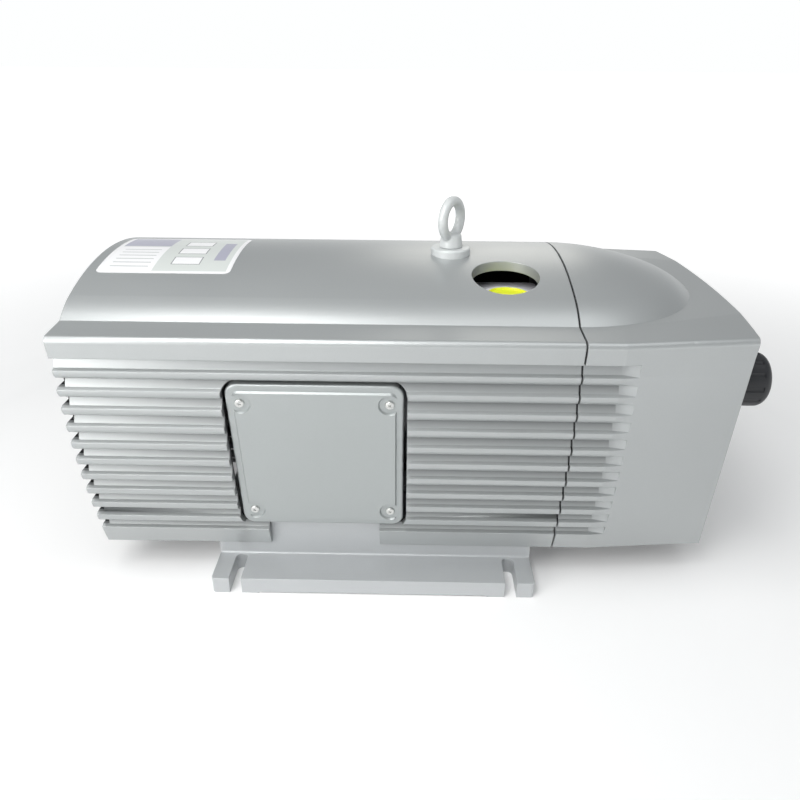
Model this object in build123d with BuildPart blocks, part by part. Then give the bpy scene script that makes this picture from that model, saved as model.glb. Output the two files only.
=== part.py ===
from build123d import *
import os
from math import asin, atan2, cos, degrees, pi, radians, sin, sqrt

os.makedirs("parts", exist_ok=True)

# A dry rotary vane vacuum pump under its noise hood. Millimetres; X runs along the shaft from the motor end to
# the regulator end, Z is up, and the origin is the middle of the foot's underside.

# Clearances, and how far a cut runs past the face it opens
running = 0.05              # radial, shafts in bearings and seals
seat_gap = 0.3              # between fixed pieces that slide together
hood_gap = 0.4              # between hood and pedestal
bolt_gap = 0.5              # radial, screws in their clearance holes
loose_gap = 1               # radial, foot bolts and lifting eye in theirs
over = 1

# Foot
foot_length = 453
foot_inset = 0.5            # foot inside the belt, each side
foot_thickness = 24.5
foot_corner = 5
foot_relief = 1.5           # underside between the pads
pad_length = 66
slot_spacing = 387
slot_width = 17
slot_land = 1               # flat left between the slots' ends and the pedestal's root
pedestal_top = 83
pedestal_wall = 9
pedestal_root_radius = 3
core_hole_length = 90       # two holes in the pedestal's top, left by the casting core
core_hole_width = 120
core_hole_xs = (-70, 110)

# Hood and cover section, half widths from the middle plane
hood_left = -388
hood_length = 643
seam_gap = 2.5
crown_above_shaft = 218
crown_radius = 465
shoulder_width = 37.5       # cove between crown and ledge
crown_rise = 46.5           # crown above the ledge's inner edge
ledge_width = 47.5
ledge_fall = 3.5
ledge_draw_in = 0.3         # share by which the ledge narrows over the cover
belt_top_half = 237
belt_height = 28.5
belt_draft = 2.5
belt_extra = 1              # the belt's wall is this much less than the side's
belt_edge_radius = 8
side_recess = 4.5           # side inside the belt's upper edge
side_top_drop = 17.5        # first louvre's edge below the belt
side_radius = 866
hood_bottom = 47
skirt_wall = 4.6
skirt_above_pedestal = 1    # how far the thinned skirt reaches above the pedestal's top
side_wall = 15
roof_wall = 6
mouth_frame = 25            # depth of the wall round the motor-end opening
mouth_length = 12
tooth_length = 9            # louvre ends that stand past the wall at the motor end
tooth_depth = 23

# Louvres
louvre_count = 11
louvre_pitch = 26
louvre_depth = 9.8
louvre_shelf = 5
louvre_shelf_drop = 2.6
louvre_nose = 11
louvre_nose_back = 4.8
louvre_roof_slope = 0.4     # fall of each groove's roof over its depth
louvre_end_depth = 0.05     # share of the depth left where the cover's louvres run out

# End cover
crease_x = 304
louvre_end_x = 325
corner_x = 468
end_bow = 14
end_top_inset = 22.5        # end face inside the belt, at its top and at the hood's bottom
end_bottom_inset = 69.5
cover_wall = 6
dome_drop = 20              # how far the dome reaches down inside the cover
seal_side_inset = 6
seal_roof_inset = 2.5
seal_lip = 0.5

# Motor-end grille
grille_thickness = 3
grille_slot_length = 96
grille_slot_width = 8
grille_slot_pitch = 17
grille_slot_rows = 15
grille_column_pitch = 110
grille_middle_z = 225
grille_screw_radius = 3
grille_screw_inset = 6.5
grille_screw_zs = (130, 320)
grille_head_radius = 5
grille_head_height = 4

# Window for the terminal box, and the notch below it
lid_centre_x = -70.6
lid_width = 223
lid_top_drop = 16.5         # lid's top edge below the first louvre's edge
lid_bottom_rise = 42.7      # lid's bottom edge above the hood's
lid_top_inset = 7.3         # the same edges inside the belt's upper edge
lid_bottom_inset = 43.4
lid_corner_radius = 16
lid_rim = 14
lid_edge_radius = 3
lid_panel_margin = 9
lid_panel_radius = 8
lid_panel_height = 3
lid_panel_draft = 30
lid_wall = 4
lid_screw_inset_x = 17.5
lid_screw_inset_y = 26.8
lid_boss_radius = 9
lid_screw_radius = 2.5
lid_head_radius = 6
lid_head_height = 3
pocket_radius = 13
gasket_thickness = 2
window_gap = 4.5
notch_width = 157
notch_overlap = 10

# Terminal box
box_margin = 5              # box inside the lid's outline, all round
box_wall = 6
box_side = 27.5             # material beside the box's hollow, which takes the lid screws
box_end = 15
box_screw_depth = 12
box_screw_spare = 2
terminal_pad_rise = 6       # pad's face outside the motor's fins
terminal_pad_half = 60
terminal_pad_half_height = 50
cable_way_radius = 18
cable_way_drop = 20
board_rise = 30
board_half = 45
board_half_height = 30
board_thickness = 8
stud_radius = 3
stud_length = 16
stud_pitch = 28
gland_radius = 12
gland_hex = 20
gland_hex_length = 9
gland_thread_length = 20
gland_cap_length = 15
gland_cap_radius = 14
gland_mouth_radius = 8
gland_plug_length = 13
gland_drop = 65
gland_from_pad = 35

# Suction port
port_x = 178
port_y = -95
port_bore_radius = 28.3
port_plate_drop = 40        # riser's plate below the crown
hole_x = 173
hole_radius = 45
collar_depth = 13
collar_wall = 3

# Lifting eye
eye_y = -18
eye_ring_radius = 24.5
eye_wire_radius = 7
eye_turn = 58
eye_barrel_radius = 16.5
eye_barrel_height = 17
eye_barrel_draft = 7
eye_barrel_sink = 3         # the ring's wire sinks this far into the barrel
eye_shank_radius = 8
eye_shank_length = 40
washer_radius = 27.5
washer_thickness = 9
washer_edge_radius = 2.5
post_radius = 14

# Shaft line
shaft_z = 215
motor_x0 = -232
motor_x1 = 12
housing_bore = 98
housing_radius = 106
fin_radius = 124
fin_count = 28
fin_thickness = 3.2
end_shield = 18
flange_thickness = 22
lantern_length = 84
pump_plate = 20
cylinder_length = 170
shaft_core_radius = 22
shaft_end_radius = 19
fan_end_radius = 17
bearing_radius = 36
bearing_shoulder = 4
shoulder_setback = 12       # shaft's thick middle stops this far inside the motor's ends
shaft_way = 3               # radial, round the shaft where it passes a shield
shaft_overhang = 6          # shaft ends stand this far past the fans
shield_step = 3.5           # the bearing shield is this much smaller than the fins
shield_pockets = 6
shield_pocket_circle = 66
shield_pocket_radius = 17
shield_floor = 6

# Motor feet
foot_bolt_half_y = 108
motor_foot_spacing = 140
foot_flange = 14
foot_flange_half = 22
foot_web = 12
foot_web_inner = 70
foot_web_outer = 97
foot_web_drop = 40
foot_bolt_radius = 5
bolt_head_radius = 9.5
bolt_head_height = 7

# Motor inside
core_setback = 42
core_length = 150
rotor_air_gap = 0.6
cage_radius = 65.4
cage_ring_length = 12
cage_ring_step = 4
cage_ring_height = 27
winding_length = 26
winding_outer_step = 6
winding_inner_step = 8

# Motor fan and cowl
fan_gap = 12                # between bearing shield and fan
fan_length = 28
fan_radius = 98
fan_hub_radius = 28
fan_disc = 3
fan_blade = 4
fan_blade_root = 4          # blades reach this far into the hub
fan_blade_inset = 2
fan_blades = 7
cowl_space = 32             # between cowl and fan
cowl_lap = 10
cowl_wall = 1.6
guard_rim_bore = 108
guard_hub_radius = 24
guard_spokes = 4
guard_spoke_width = 7
guard_turn = 45             # from the first spoke to the level

# Coupling and lantern
lantern_wall = 12
lantern_flange = 8
lantern_flange_bore = 54
lantern_window_half = 55
lantern_window_margin = 14
lantern_boss_half_x = 15
lantern_boss_half_y = 20
lantern_boss_rise = 6
hub_radius = 42
hub_length = 24
hub_setback = 12
jaw_count = 3
jaw_length = 16
jaw_width = 14
jaw_height = 18
jaw_mid_radius = 31
spider_ring = 16
spider_bore = 9
spider_arm_length = 26
spider_arm_width = 6

# Pump
rotor_radius = 80
eccentricity = 12
tip_clearance = 0.1
side_clearance = 0.15
cylinder_wall = 20
cylinder_fin_count = 26
cylinder_fin_height = 7
cylinder_fin_thickness = 3.5
vane_count = 7
vane_thickness = 5
vane_height = 38
vane_tip_inset = 0.3        # the vanes lie just below the rotor's surface
vane_root_gap = 0.7
vane_side_gap = 0.1
pump_shaft_radius = 17
pump_bearing_radius = 31
pump_bearing_width = 14
seal_height = 4
side_cover_step = 2         # side covers and shroud are this much smaller than the motor's fins
cover_bolt_circle = 104
cover_bolt_count = 8
cover_bolt_head = 8
cover_bolt_height = 6
port_block_half = 38
port_block_rise = 115       # top of the port block above the bore's centre
port_floor = 15
pump_foot_setback = 12
pump_foot_length = 66
pump_foot_inner = 62
pump_foot_outer = 112
pump_foot_height = 12
pump_web = 12
pump_web_top = 60           # below the bore's centre

# Cooling fan and shroud
cooling_fan_gap = 8
cooling_fan_length = 24
cooling_fan_radius = 98
cooling_blades = 9
cooling_hub_radius = 30
shroud_length = 44
shroud_wall = 3
shroud_window_margin = 9
shroud_window_half = 40
shroud_window_drop = 60

# Filter housing
plate_thickness = 10
plate_back = 150
plate_front = 160
plate_below = 95
plate_above = 115
air_window_outer = 140
air_window_inner = 40
air_window_below = 75
air_window_above = 25
can_y = 50
can_rise = 10
can_radius = 66
can_length = 74
can_wall = 5
filter_radius = 52
filter_bore = 32
cap_plate = 6
cap_plate_lap = 3
cap_boss_radius = 14
cap_boss_length = 8

# Suction riser and non-return valve
riser_radius = 37
riser_foot = 10
riser_plate = 12
riser_plate_length = 92
riser_plate_corner = 8
riser_plate_back = 70
riser_plate_front = 50
neck_height = 5
neck_radius = 34
chamber_radius = 31
seat_below_plate = 31
seat_thickness = 6
seat_hole_radius = 22
disc_radius = 27
disc_thickness = 4
stem_radius = 4
stem_gap = 0.2
spider_height = 4
spider_rim = 5
spider_spoke_width = 8
spider_guide_radius = 9
spider_guide_height = 12
valve_travel = 12
valve_stem_margin = 2
valve_wire = 1.2
valve_coil_radius = 14
coil_pitch = 9
coil_gap = 0.2

# Cap on the port
cap_radius = 37.5
cap_top = 3.5
cap_edge_radius = 1.5

# Regulator
knob_y = -125
knob_z = 292
knob_radius = 37
knob_length = 47
knob_inset = 0.5            # knob's back behind the end face's middle
knob_dome = 14
knob_back_edge = 2
knob_flutes = 12
knob_flute_radius = 6
knob_flute_depth = 1.5
knob_flute_margin = 12
knob_hole_radius = 30
body_radius = 28
body_wall = 4
body_setback = 7            # from the body's end to the knob
body_cap = 6
regulator_seat = 5
regulator_orifice = 13
poppet_radius = 18
poppet_thickness = 5
spring_plate_setback = 35.5
spring_plate_thickness = 5
spring_plate_radius = 20
spindle_radius = 5
spindle_tail = 18
regulator_wire = 1.6
regulator_coil_radius = 13

# Places that follow from the sizes above
belt_bottom_half = belt_top_half - belt_draft
side_top_half = belt_top_half - side_recess
ledge_inner = belt_top_half - ledge_width
crown_half = ledge_inner - shoulder_width
end_top_half = belt_top_half - end_top_inset
end_bottom_half = belt_top_half - end_bottom_inset
foot_width = 2 * (belt_top_half - foot_inset)
crown_z = shaft_z + crown_above_shaft
ledge_inner_z = crown_z - crown_rise
ledge_outer_z = ledge_inner_z - ledge_fall
belt_bottom_z = ledge_outer_z - belt_height
side_top_z = belt_bottom_z - side_top_drop
seam_x = hood_left + hood_length
cover_x0 = seam_x + seam_gap
skirt_top = pedestal_top + skirt_above_pedestal
bow_radius = (end_top_half**2 + end_bow**2) / (2 * end_bow)
end_x = corner_x + end_bow
far_x = end_x + cover_wall + over
knob_back_x = end_x - knob_inset
lid_top_z = side_top_z - lid_top_drop
lid_top_y = belt_top_half - lid_top_inset
lid_bottom_z = hood_bottom + lid_bottom_rise
lid_bottom_y = belt_top_half - lid_bottom_inset
rear_shield_x0 = motor_x0 - end_shield
lantern_x0 = motor_x1 + flange_thickness
lantern_x1 = lantern_x0 + lantern_length
lantern_top_z = shaft_z + fin_radius + lantern_boss_rise
cylinder_x0 = lantern_x1 + pump_plate
cylinder_x1 = cylinder_x0 + cylinder_length
front_cover_x1 = cylinder_x1 + pump_plate
bore_z = shaft_z - eccentricity
bore_radius = rotor_radius + eccentricity + tip_clearance
casing_radius = bore_radius + cylinder_wall
port_block_top = bore_z + port_block_rise
port_plate_z = crown_z - port_plate_drop
valve_seat_z = port_plate_z - seat_below_plate
pump_foot_x0 = cylinder_x0 + pump_foot_setback
cooling_fan_x0 = front_cover_x1 + cooling_fan_gap
shroud_x1 = front_cover_x1 + shroud_length
plate_x1 = shroud_x1 + plate_thickness
can_z = shaft_z + can_rise
eye_x = lantern_x1 - lantern_boss_half_x
eye_base_z = crown_z + washer_thickness
motor_foot_xs = (lid_centre_x - motor_foot_spacing / 2, lid_centre_x + motor_foot_spacing / 2)
terminal_pad_y = -(fin_radius + terminal_pad_rise)
cable_way_z = shaft_z - cable_way_drop
board_z = shaft_z + board_rise
gland_y = terminal_pad_y - gland_from_pad
gland_z = shaft_z - gland_drop
shoulder_angle = asin(crown_half / crown_radius)


def side_half(z):
    """Half width of the barrel-curved side at a height."""
    return side_top_half - (side_radius - sqrt(side_radius**2 - (side_top_z - z) ** 2))


pedestal_half = side_half(hood_bottom) - skirt_wall - hood_gap
slot_depth = foot_width / 2 - pedestal_half - pedestal_root_radius - slot_land


def crown_height(y, inset=0):
    """Height of the crowned roof at a distance from the middle plane."""
    return crown_z - crown_radius + sqrt((crown_radius - inset) ** 2 - y**2)


roof_at_eye = crown_height(abs(eye_y) + washer_radius)


def end_half(z):
    """Half width of the straight side edge of the cover's end face."""
    share = (z - hood_bottom) / (ledge_outer_z - hood_bottom)
    return end_bottom_half + share * (end_top_half - end_bottom_half)


def drawn_in(half, z, x):
    """Half width of the cover's side at a place past the crease, where it stood at half before."""
    share = max(x - crease_x, 0) / (corner_x - crease_x)
    return half + share * (end_half(z) - half)


def bow_x(y, inset=0):
    """Where the bowed end face stands at a distance from the middle plane."""
    return end_x - bow_radius + sqrt((bow_radius - inset) ** 2 - y**2)


def across(x, y=0, z=shaft_z):
    """A plane square to the shaft, its first direction to the back and its second up."""
    return Plane(origin=(x, y, z), x_dir=(0, 1, 0), z_dir=(1, 0, 0))


def ring(x0, x1, outer, inner=0, y=0, z=shaft_z):
    """Adds a disc or ring round a line along X to the piece being made."""
    with BuildSketch(across(x0, y, z)) as section:
        Circle(outer)
        if inner:
            Circle(inner, mode=Mode.SUBTRACT)
    extrude(section.sketch, amount=x1 - x0)


def bore(x0, x1, radius, y=0, z=shaft_z):
    """Cuts a round hole along X through the piece being made."""
    with BuildSketch(across(x0, y, z)) as section:
        Circle(radius)
    extrude(section.sketch, amount=x1 - x0, mode=Mode.SUBTRACT)


def block(x0, x1, y0, y1, z0, z1, mode=Mode.ADD):
    """Adds or cuts a straight-sided block given by its limits."""
    with BuildSketch(Plane.XY.offset(z0)) as section:
        with Locations(((x0 + x1) / 2, (y0 + y1) / 2)):
            Rectangle(abs(x1 - x0), abs(y1 - y0))
    extrude(section.sketch, amount=z1 - z0, mode=mode)


def post(x, y, z0, z1, radius, inner=0, mode=Mode.ADD):
    """Adds or cuts an upright round post or tube."""
    with BuildSketch(Plane.XY.offset(z0)) as section:
        with Locations((x, y)):
            Circle(radius)
            if inner:
                Circle(inner, mode=Mode.SUBTRACT)
    extrude(section.sketch, amount=z1 - z0, mode=mode)


def fan_wheel(x0, length, disc_x0, hub, rim, shaft, blades):
    """Adds a hub, a disc and straight blades to the piece being made."""
    root = hub - fan_blade_root
    tip = rim - fan_blade_inset
    ring(x0, x0 + length, hub, shaft)
    ring(disc_x0, disc_x0 + fan_disc, rim, shaft)
    with BuildSketch(across(x0)) as section:
        with PolarLocations((root + tip) / 2, blades):
            Rectangle(tip - root, fan_blade)
    extrude(section.sketch, amount=length)


def finish(piece, name):
    piece.part.label = name
    export_step(piece.part, f"parts/{name}.step")


# Section outlines, drawn in the sketch's own Y and Z as first and second directions

def roofed_outline(x, side_inset, roof_inset, floor_z, crowned=True):
    """The hood's section: curved sides, belt, ledge and crowned roof. An inset draws the inner face."""
    belt_inset = max(side_inset - belt_extra, 0)
    heel = (side_half(hood_bottom) - side_inset, hood_bottom)
    middle_z = (hood_bottom + side_top_z) / 2
    top = (side_top_half - side_inset, side_top_z)
    belt_low = (belt_bottom_half - belt_inset, belt_bottom_z)
    belt_high = (belt_top_half - belt_inset, ledge_outer_z - roof_inset - belt_edge_radius)
    rim = (belt_high[0] - belt_edge_radius, ledge_outer_z - roof_inset)
    bulge = belt_edge_radius * (1 - cos(pi / 4))
    ledge = (ledge_inner - roof_inset / 2, ledge_inner_z - roof_inset)
    with BuildSketch(Plane.YZ.offset(x)) as section:
        with BuildLine():
            Line((0, floor_z), (heel[0], floor_z))
            if floor_z < hood_bottom:
                Line((heel[0], floor_z), heel)
            ThreePointArc(heel, (side_half(middle_z) - side_inset, middle_z), top)
            Line(top, belt_low)
            Line(belt_low, belt_high)
            ThreePointArc(belt_high, (belt_high[0] - bulge, rim[1] - bulge), rim)
            Line(rim, ledge)
            if crowned:
                roof_edge(ledge, roof_inset)
            else:
                Line(ledge, (0, ledge[1]))
            mirror(about=Plane.YZ)
        make_face()
    return section.sketch


def roof_edge(ledge, inset):
    """The roof's own line, from the ledge up a cove to the crown and along it to the middle."""
    radius = crown_radius - inset
    shoulder_y = radius * sin(shoulder_angle)
    shoulder = (shoulder_y, crown_height(shoulder_y, inset))
    TangentArc(shoulder, ledge, tangent=(cos(shoulder_angle), -sin(shoulder_angle)))
    ThreePointArc(shoulder, (shoulder_y / 2, crown_height(shoulder_y / 2, inset)), (0, crown_z - inset))


def tapered_outline(x, inset, floor_z):
    """The cover's section past its crease, where the sides draw in towards the straight end edge."""
    belt_inset = max(inset - belt_extra, 0)
    rim_z = ledge_outer_z - (roof_wall if inset else 0)
    middle_z = (hood_bottom + side_top_z) / 2
    heel = (drawn_in(side_half(hood_bottom), hood_bottom, x) - inset, hood_bottom)
    top = (drawn_in(side_top_half, side_top_z, x) - inset, side_top_z)
    belt_low = (drawn_in(belt_bottom_half, belt_bottom_z, x) - belt_inset, belt_bottom_z)
    belt_high = (drawn_in(belt_top_half, rim_z, x) - belt_inset, rim_z - belt_edge_radius)
    rim = (belt_high[0] - belt_edge_radius, rim_z)
    bulge = belt_edge_radius * (1 - cos(pi / 4))
    share = (x - crease_x) / (corner_x - crease_x)
    ledge = (ledge_inner * (1 - ledge_draw_in * share), ledge_inner_z - (roof_wall if inset else 0))
    with BuildSketch(Plane.YZ.offset(x)) as section:
        with BuildLine():
            Line((0, floor_z), (heel[0], floor_z))
            if floor_z < hood_bottom:
                Line((heel[0], floor_z), heel)
            middle = drawn_in(side_half(middle_z), middle_z, x) - inset
            ThreePointArc(heel, (middle, middle_z), top)
            Line(top, belt_low)
            Line(belt_low, belt_high)
            ThreePointArc(belt_high, (belt_high[0] - bulge, rim[1] - bulge), rim)
            Line(rim, ledge)
            Line(ledge, (0, ledge[1]))
            mirror(about=Plane.YZ)
        make_face()
    return section.sketch


def louvre_tip(index):
    """Half width and height of a louvre's outermost edge, counted from the belt down."""
    z = side_top_z - index * louvre_pitch
    return side_half(z), z


def louvre_groove(x, index, depth=1):
    """Section of the groove above one louvre. A depth below 1 draws it out towards the surface."""
    tip, tip_z = louvre_tip(index)
    tip = drawn_in(tip, tip_z, x)
    clear = louvre_depth / 2
    if index:
        above, above_z = louvre_tip(index - 1)
        nose_z = above_z - louvre_nose
        nose_back = louvre_nose_back * depth
    else:
        above, above_z = belt_bottom_half, belt_bottom_z
        nose_z = above_z
        nose_back = 0
    above = drawn_in(above, above_z, x)
    root = (tip - louvre_depth * depth, nose_z - louvre_roof_slope)
    shelf = (tip - louvre_shelf * depth, tip_z + louvre_shelf_drop * depth)
    with BuildSketch(Plane.YZ.offset(x)) as section:
        with BuildLine():
            Line((above + clear, above_z), (above, above_z))
            if index:
                swell = (above - 0.2 * nose_back, above_z - 0.55 * louvre_nose)
                ThreePointArc((above, above_z), swell, (above - nose_back, nose_z))
            Line((above - nose_back, nose_z), root)
            Line(root, shelf)
            Line(shelf, (tip, tip_z))
            Line((tip, tip_z), (tip + clear, tip_z))
            Line((tip + clear, tip_z), (above + clear, above_z))
        make_face()
    return section.sketch


def louvre_grooves(x0, x1, fade_x=None):
    """The grooves between the louvres on both sides, as one solid to cut away."""
    with BuildPart() as grooves:
        for index in range(louvre_count):
            extrude(louvre_groove(x0, index), amount=x1 - x0)
            if fade_x:
                loft([louvre_groove(x1, index), louvre_groove(fade_x, index, louvre_end_depth)], ruled=True)
        mirror(about=Plane.XZ)
    return grooves.part


def dome(inset, drop):
    """The roof's half dome over the cover: the roof's own section turned about a line up through the seam."""
    ledge = (ledge_inner - inset / 2, ledge_inner_z - inset)
    with BuildPart() as bulge:
        with BuildSketch(Plane.XZ):
            with BuildLine():
                Line((0, ledge[1] - drop), (ledge[0], ledge[1] - drop))
                Line((ledge[0], ledge[1] - drop), ledge)
                roof_edge(ledge, inset)
                Line((0, crown_z - inset), (0, ledge[1] - drop))
            make_face()
        revolve(axis=Axis.Z, revolution_arc=360)
    return bulge.part.moved(Location((seam_x, 0, 0)))


def cover_plan(x0, inset=0):
    """The cover seen from above, from a place along the shaft to the bowed end face."""
    edge = (bow_x(end_top_half, inset), end_top_half)
    with BuildSketch(Plane.XY) as plan:
        with BuildLine():
            ThreePointArc(edge, (end_x - inset, 0), (edge[0], -edge[1]))
            Polyline((edge[0], -edge[1]), (edge[0], -belt_top_half), (x0, -belt_top_half), (x0, belt_top_half),
                     (edge[0], belt_top_half), edge)
        make_face()
    return plan.sketch


# The collar round the hood's access hole, its lower edge parallel to the roof
with BuildPart() as port_collar:
    post(hole_x, port_y, port_plate_z, crown_z, hole_radius + collar_wall)
    extrude(roofed_outline(hood_left, 0, collar_depth, 0), amount=hood_length, mode=Mode.SUBTRACT)
    extrude(roofed_outline(hood_left, 0, 0, hood_bottom), amount=hood_length, mode=Mode.INTERSECT)

# Hood: ribbed shell over motor and pump, open below and at both ends
with BuildPart() as hood:
    extrude(roofed_outline(hood_left, 0, 0, hood_bottom), amount=hood_length)
    extrude(roofed_outline(hood_left + mouth_length, side_wall, roof_wall, 0), amount=hood_length,
            mode=Mode.SUBTRACT)
    extrude(roofed_outline(hood_left - over, mouth_frame, mouth_frame - side_wall + roof_wall, 0),
            amount=mouth_length + 2 * over, mode=Mode.SUBTRACT)
    add(louvre_grooves(hood_left - over, seam_x + over), mode=Mode.SUBTRACT)
    # the skirt below the last louvre is thinned so that it hangs just outside the pedestal
    skirt_half = pedestal_half + hood_gap
    block(hood_left - over, seam_x + over, -skirt_half, skirt_half, hood_bottom - over, skirt_top,
          mode=Mode.SUBTRACT)
    # at the motor end the wall between the louvres stops short and leaves their ends as teeth
    for index in range(1, louvre_count):
        tip, tip_z = louvre_tip(index)
        above, above_z = louvre_tip(index - 1)
        for side in (-1, 1):
            block(hood_left - over, hood_left + tooth_length, side * (above + over), side * (tip - tooth_depth),
                  tip_z + louvre_shelf_drop, above_z - louvre_nose, mode=Mode.SUBTRACT)
    # window for the terminal box and the notch below it, in the front side only
    window_y = side_half(hood_bottom) - side_wall - over
    with BuildSketch(Plane.XZ.offset(window_y)) as window:
        with Locations((lid_centre_x, (lid_top_z + lid_bottom_z) / 2)):
            RectangleRounded(lid_width + 2 * window_gap, lid_top_z - lid_bottom_z + 2 * window_gap,
                             lid_corner_radius + window_gap)
        with Locations((lid_centre_x, hood_bottom)):
            Rectangle(notch_width, 2 * (lid_bottom_z - hood_bottom + notch_overlap))
    extrude(window.sketch, amount=belt_top_half + over - window_y, mode=Mode.SUBTRACT)
    # access hole over the suction port, with a collar of even depth turned down round it
    add(port_collar.part)
    post(hole_x, port_y, port_plate_z, crown_z + over, hole_radius, mode=Mode.SUBTRACT)
    # hole for the lifting eye
    post(eye_x, eye_y, roof_at_eye - roof_wall - over, crown_z + over, eye_shank_radius + loose_gap,
         mode=Mode.SUBTRACT)
finish(hood, "hood")

# Lifting gear: a steel post on the lantern carries the eye, which clamps the hood's roof under a washer
with BuildPart() as lifting_washer:
    post(eye_x, eye_y, roof_at_eye - over, eye_base_z, washer_radius, eye_shank_radius + bolt_gap)
    extrude(roofed_outline(hood_left, 0, 0, hood_bottom), amount=hood_length, mode=Mode.SUBTRACT)
    fillet(lifting_washer.edges().group_by(Axis.Z)[-1].sort_by(SortBy.RADIUS)[-1], washer_edge_radius)
finish(lifting_washer, "lifting_washer")

ring_centre_z = eye_base_z + eye_barrel_height - eye_barrel_sink + eye_ring_radius
eye_plane = Plane(origin=(eye_x, eye_y, ring_centre_z), x_dir=(cos(radians(eye_turn)), sin(radians(eye_turn)), 0),
                  z_dir=(sin(radians(eye_turn)), -cos(radians(eye_turn)), 0))
with BuildPart() as lifting_eye:
    with Locations(eye_plane):
        Torus(eye_ring_radius, eye_wire_radius)
    with BuildSketch(Plane.XY.offset(eye_base_z)):
        with Locations((eye_x, eye_y)):
            Circle(eye_barrel_radius)
    extrude(amount=eye_barrel_height, taper=eye_barrel_draft)
    post(eye_x, eye_y, eye_base_z - eye_shank_length, eye_base_z, eye_shank_radius)
finish(lifting_eye, "lifting_eye")

with BuildPart() as lifting_post:
    post(eye_x, eye_y, lantern_top_z, crown_height(abs(eye_y) + post_radius, roof_wall), post_radius,
         eye_shank_radius)
finish(lifting_post, "lifting_post")

# End cover: the same section, drawn in past a crease to a bowed end face, with the roof running out as a half dome
hollow_x0 = cover_x0 - seam_gap - over
with BuildPart() as cover_hollow:
    extrude(roofed_outline(hollow_x0, side_wall, roof_wall, 0, crowned=False), amount=crease_x - hollow_x0)
    loft([tapered_outline(crease_x, side_wall, 0), tapered_outline(far_x, cover_wall, 0)], ruled=True)
    add(dome(roof_wall, dome_drop))
    extrude(cover_plan(hollow_x0, cover_wall), amount=crown_z, mode=Mode.INTERSECT)

with BuildPart() as end_cover:
    extrude(roofed_outline(cover_x0, 0, 0, hood_bottom, crowned=False), amount=crease_x - cover_x0)
    loft([tapered_outline(crease_x, 0, hood_bottom), tapered_outline(far_x, 0, hood_bottom)], ruled=True)
    add(dome(0, dome_drop))
    add(louvre_grooves(cover_x0 - over, crease_x, louvre_end_x), mode=Mode.SUBTRACT)
    extrude(cover_plan(cover_x0), amount=crown_z, mode=Mode.INTERSECT)
    add(cover_hollow.part, mode=Mode.SUBTRACT)
    bore(corner_x - cover_wall, end_x + over, knob_hole_radius, knob_y, knob_z)
finish(end_cover, "end_cover")

# Dark seal in the seam between hood and cover
with BuildPart() as seam_seal:
    extrude(roofed_outline(seam_x, seal_side_inset, seal_roof_inset, hood_bottom), amount=seam_gap)
    extrude(roofed_outline(seam_x - over, side_wall - seal_lip, roof_wall - seal_lip, 0),
            amount=seam_gap + 2 * over, mode=Mode.SUBTRACT)
    add(louvre_grooves(seam_x - over, cover_x0 + over), mode=Mode.SUBTRACT)
    block(seam_x - over, cover_x0 + over, -belt_top_half, belt_top_half, 0, skirt_top, mode=Mode.SUBTRACT)
finish(seam_seal, "seam_seal")

# Motor-end grille: a slotted plate inside the mouth's frame
grille_x0 = hood_left + mouth_length
grille_x1 = grille_x0 + grille_thickness
grille_screw_spots = [(side * (side_half(z) - side_wall - grille_screw_inset), z)
                      for side in (-1, 1) for z in grille_screw_zs]
with BuildPart() as intake_grille:
    extrude(roofed_outline(grille_x0, side_wall + seat_gap, roof_wall + seat_gap, 0), amount=grille_thickness)
    block(grille_x0, grille_x1, -belt_top_half, belt_top_half, 0, skirt_top, mode=Mode.SUBTRACT)
    with BuildSketch(across(grille_x0, 0, grille_middle_z)) as slots:
        with GridLocations(grille_column_pitch, grille_slot_pitch, 3, grille_slot_rows):
            SlotOverall(grille_slot_length, grille_slot_width)
    extrude(slots.sketch, amount=grille_thickness, mode=Mode.SUBTRACT)
    for y, z in grille_screw_spots:
        bore(grille_x0, grille_x1, grille_screw_radius + bolt_gap, y, z)
finish(intake_grille, "intake_grille")

with BuildPart() as grille_screws:
    for y, z in grille_screw_spots:
        ring(grille_x1, grille_x1 + grille_head_height, grille_head_radius, 0, y, z)
        ring(grille_x0, grille_x1, grille_screw_radius, 0, y, z)
finish(grille_screws, "grille_screws")

# Foot: base plate with open slots at its corners and a hollow pedestal
with BuildPart() as base_foot:
    with BuildSketch(Plane.XY):
        RectangleRounded(foot_length, foot_width, foot_corner)
        with GridLocations(slot_spacing, foot_width, 2, 2):
            SlotOverall(2 * slot_depth, slot_width, rotation=90, mode=Mode.SUBTRACT)
    extrude(amount=foot_thickness)
    with BuildSketch(Plane.XY.offset(foot_thickness)):
        Rectangle(foot_length, 2 * pedestal_half)
    extrude(amount=pedestal_top - foot_thickness)
    top_edges = base_foot.edges().filter_by(Axis.X).filter_by_position(Axis.Z, foot_thickness, foot_thickness)
    fillet(top_edges.filter_by_position(Axis.Y, -pedestal_half - over, pedestal_half + over), pedestal_root_radius)
    hollow_half_x = foot_length / 2 - pedestal_wall
    hollow_half_y = pedestal_half - pedestal_wall
    block(-hollow_half_x, hollow_half_x, -hollow_half_y, hollow_half_y, 0, pedestal_top - pedestal_wall,
          mode=Mode.SUBTRACT)
    pad_x = foot_length / 2 - pad_length
    block(-pad_x, pad_x, -foot_width, foot_width, 0, foot_relief, mode=Mode.SUBTRACT)
    with BuildSketch(Plane.XY.offset(pedestal_top - pedestal_wall)) as core_holes:
        with Locations(*[(x, 0) for x in core_hole_xs]):
            Rectangle(core_hole_length, core_hole_width)
    extrude(core_holes.sketch, amount=pedestal_wall, mode=Mode.SUBTRACT)
finish(base_foot, "base_foot")

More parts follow.
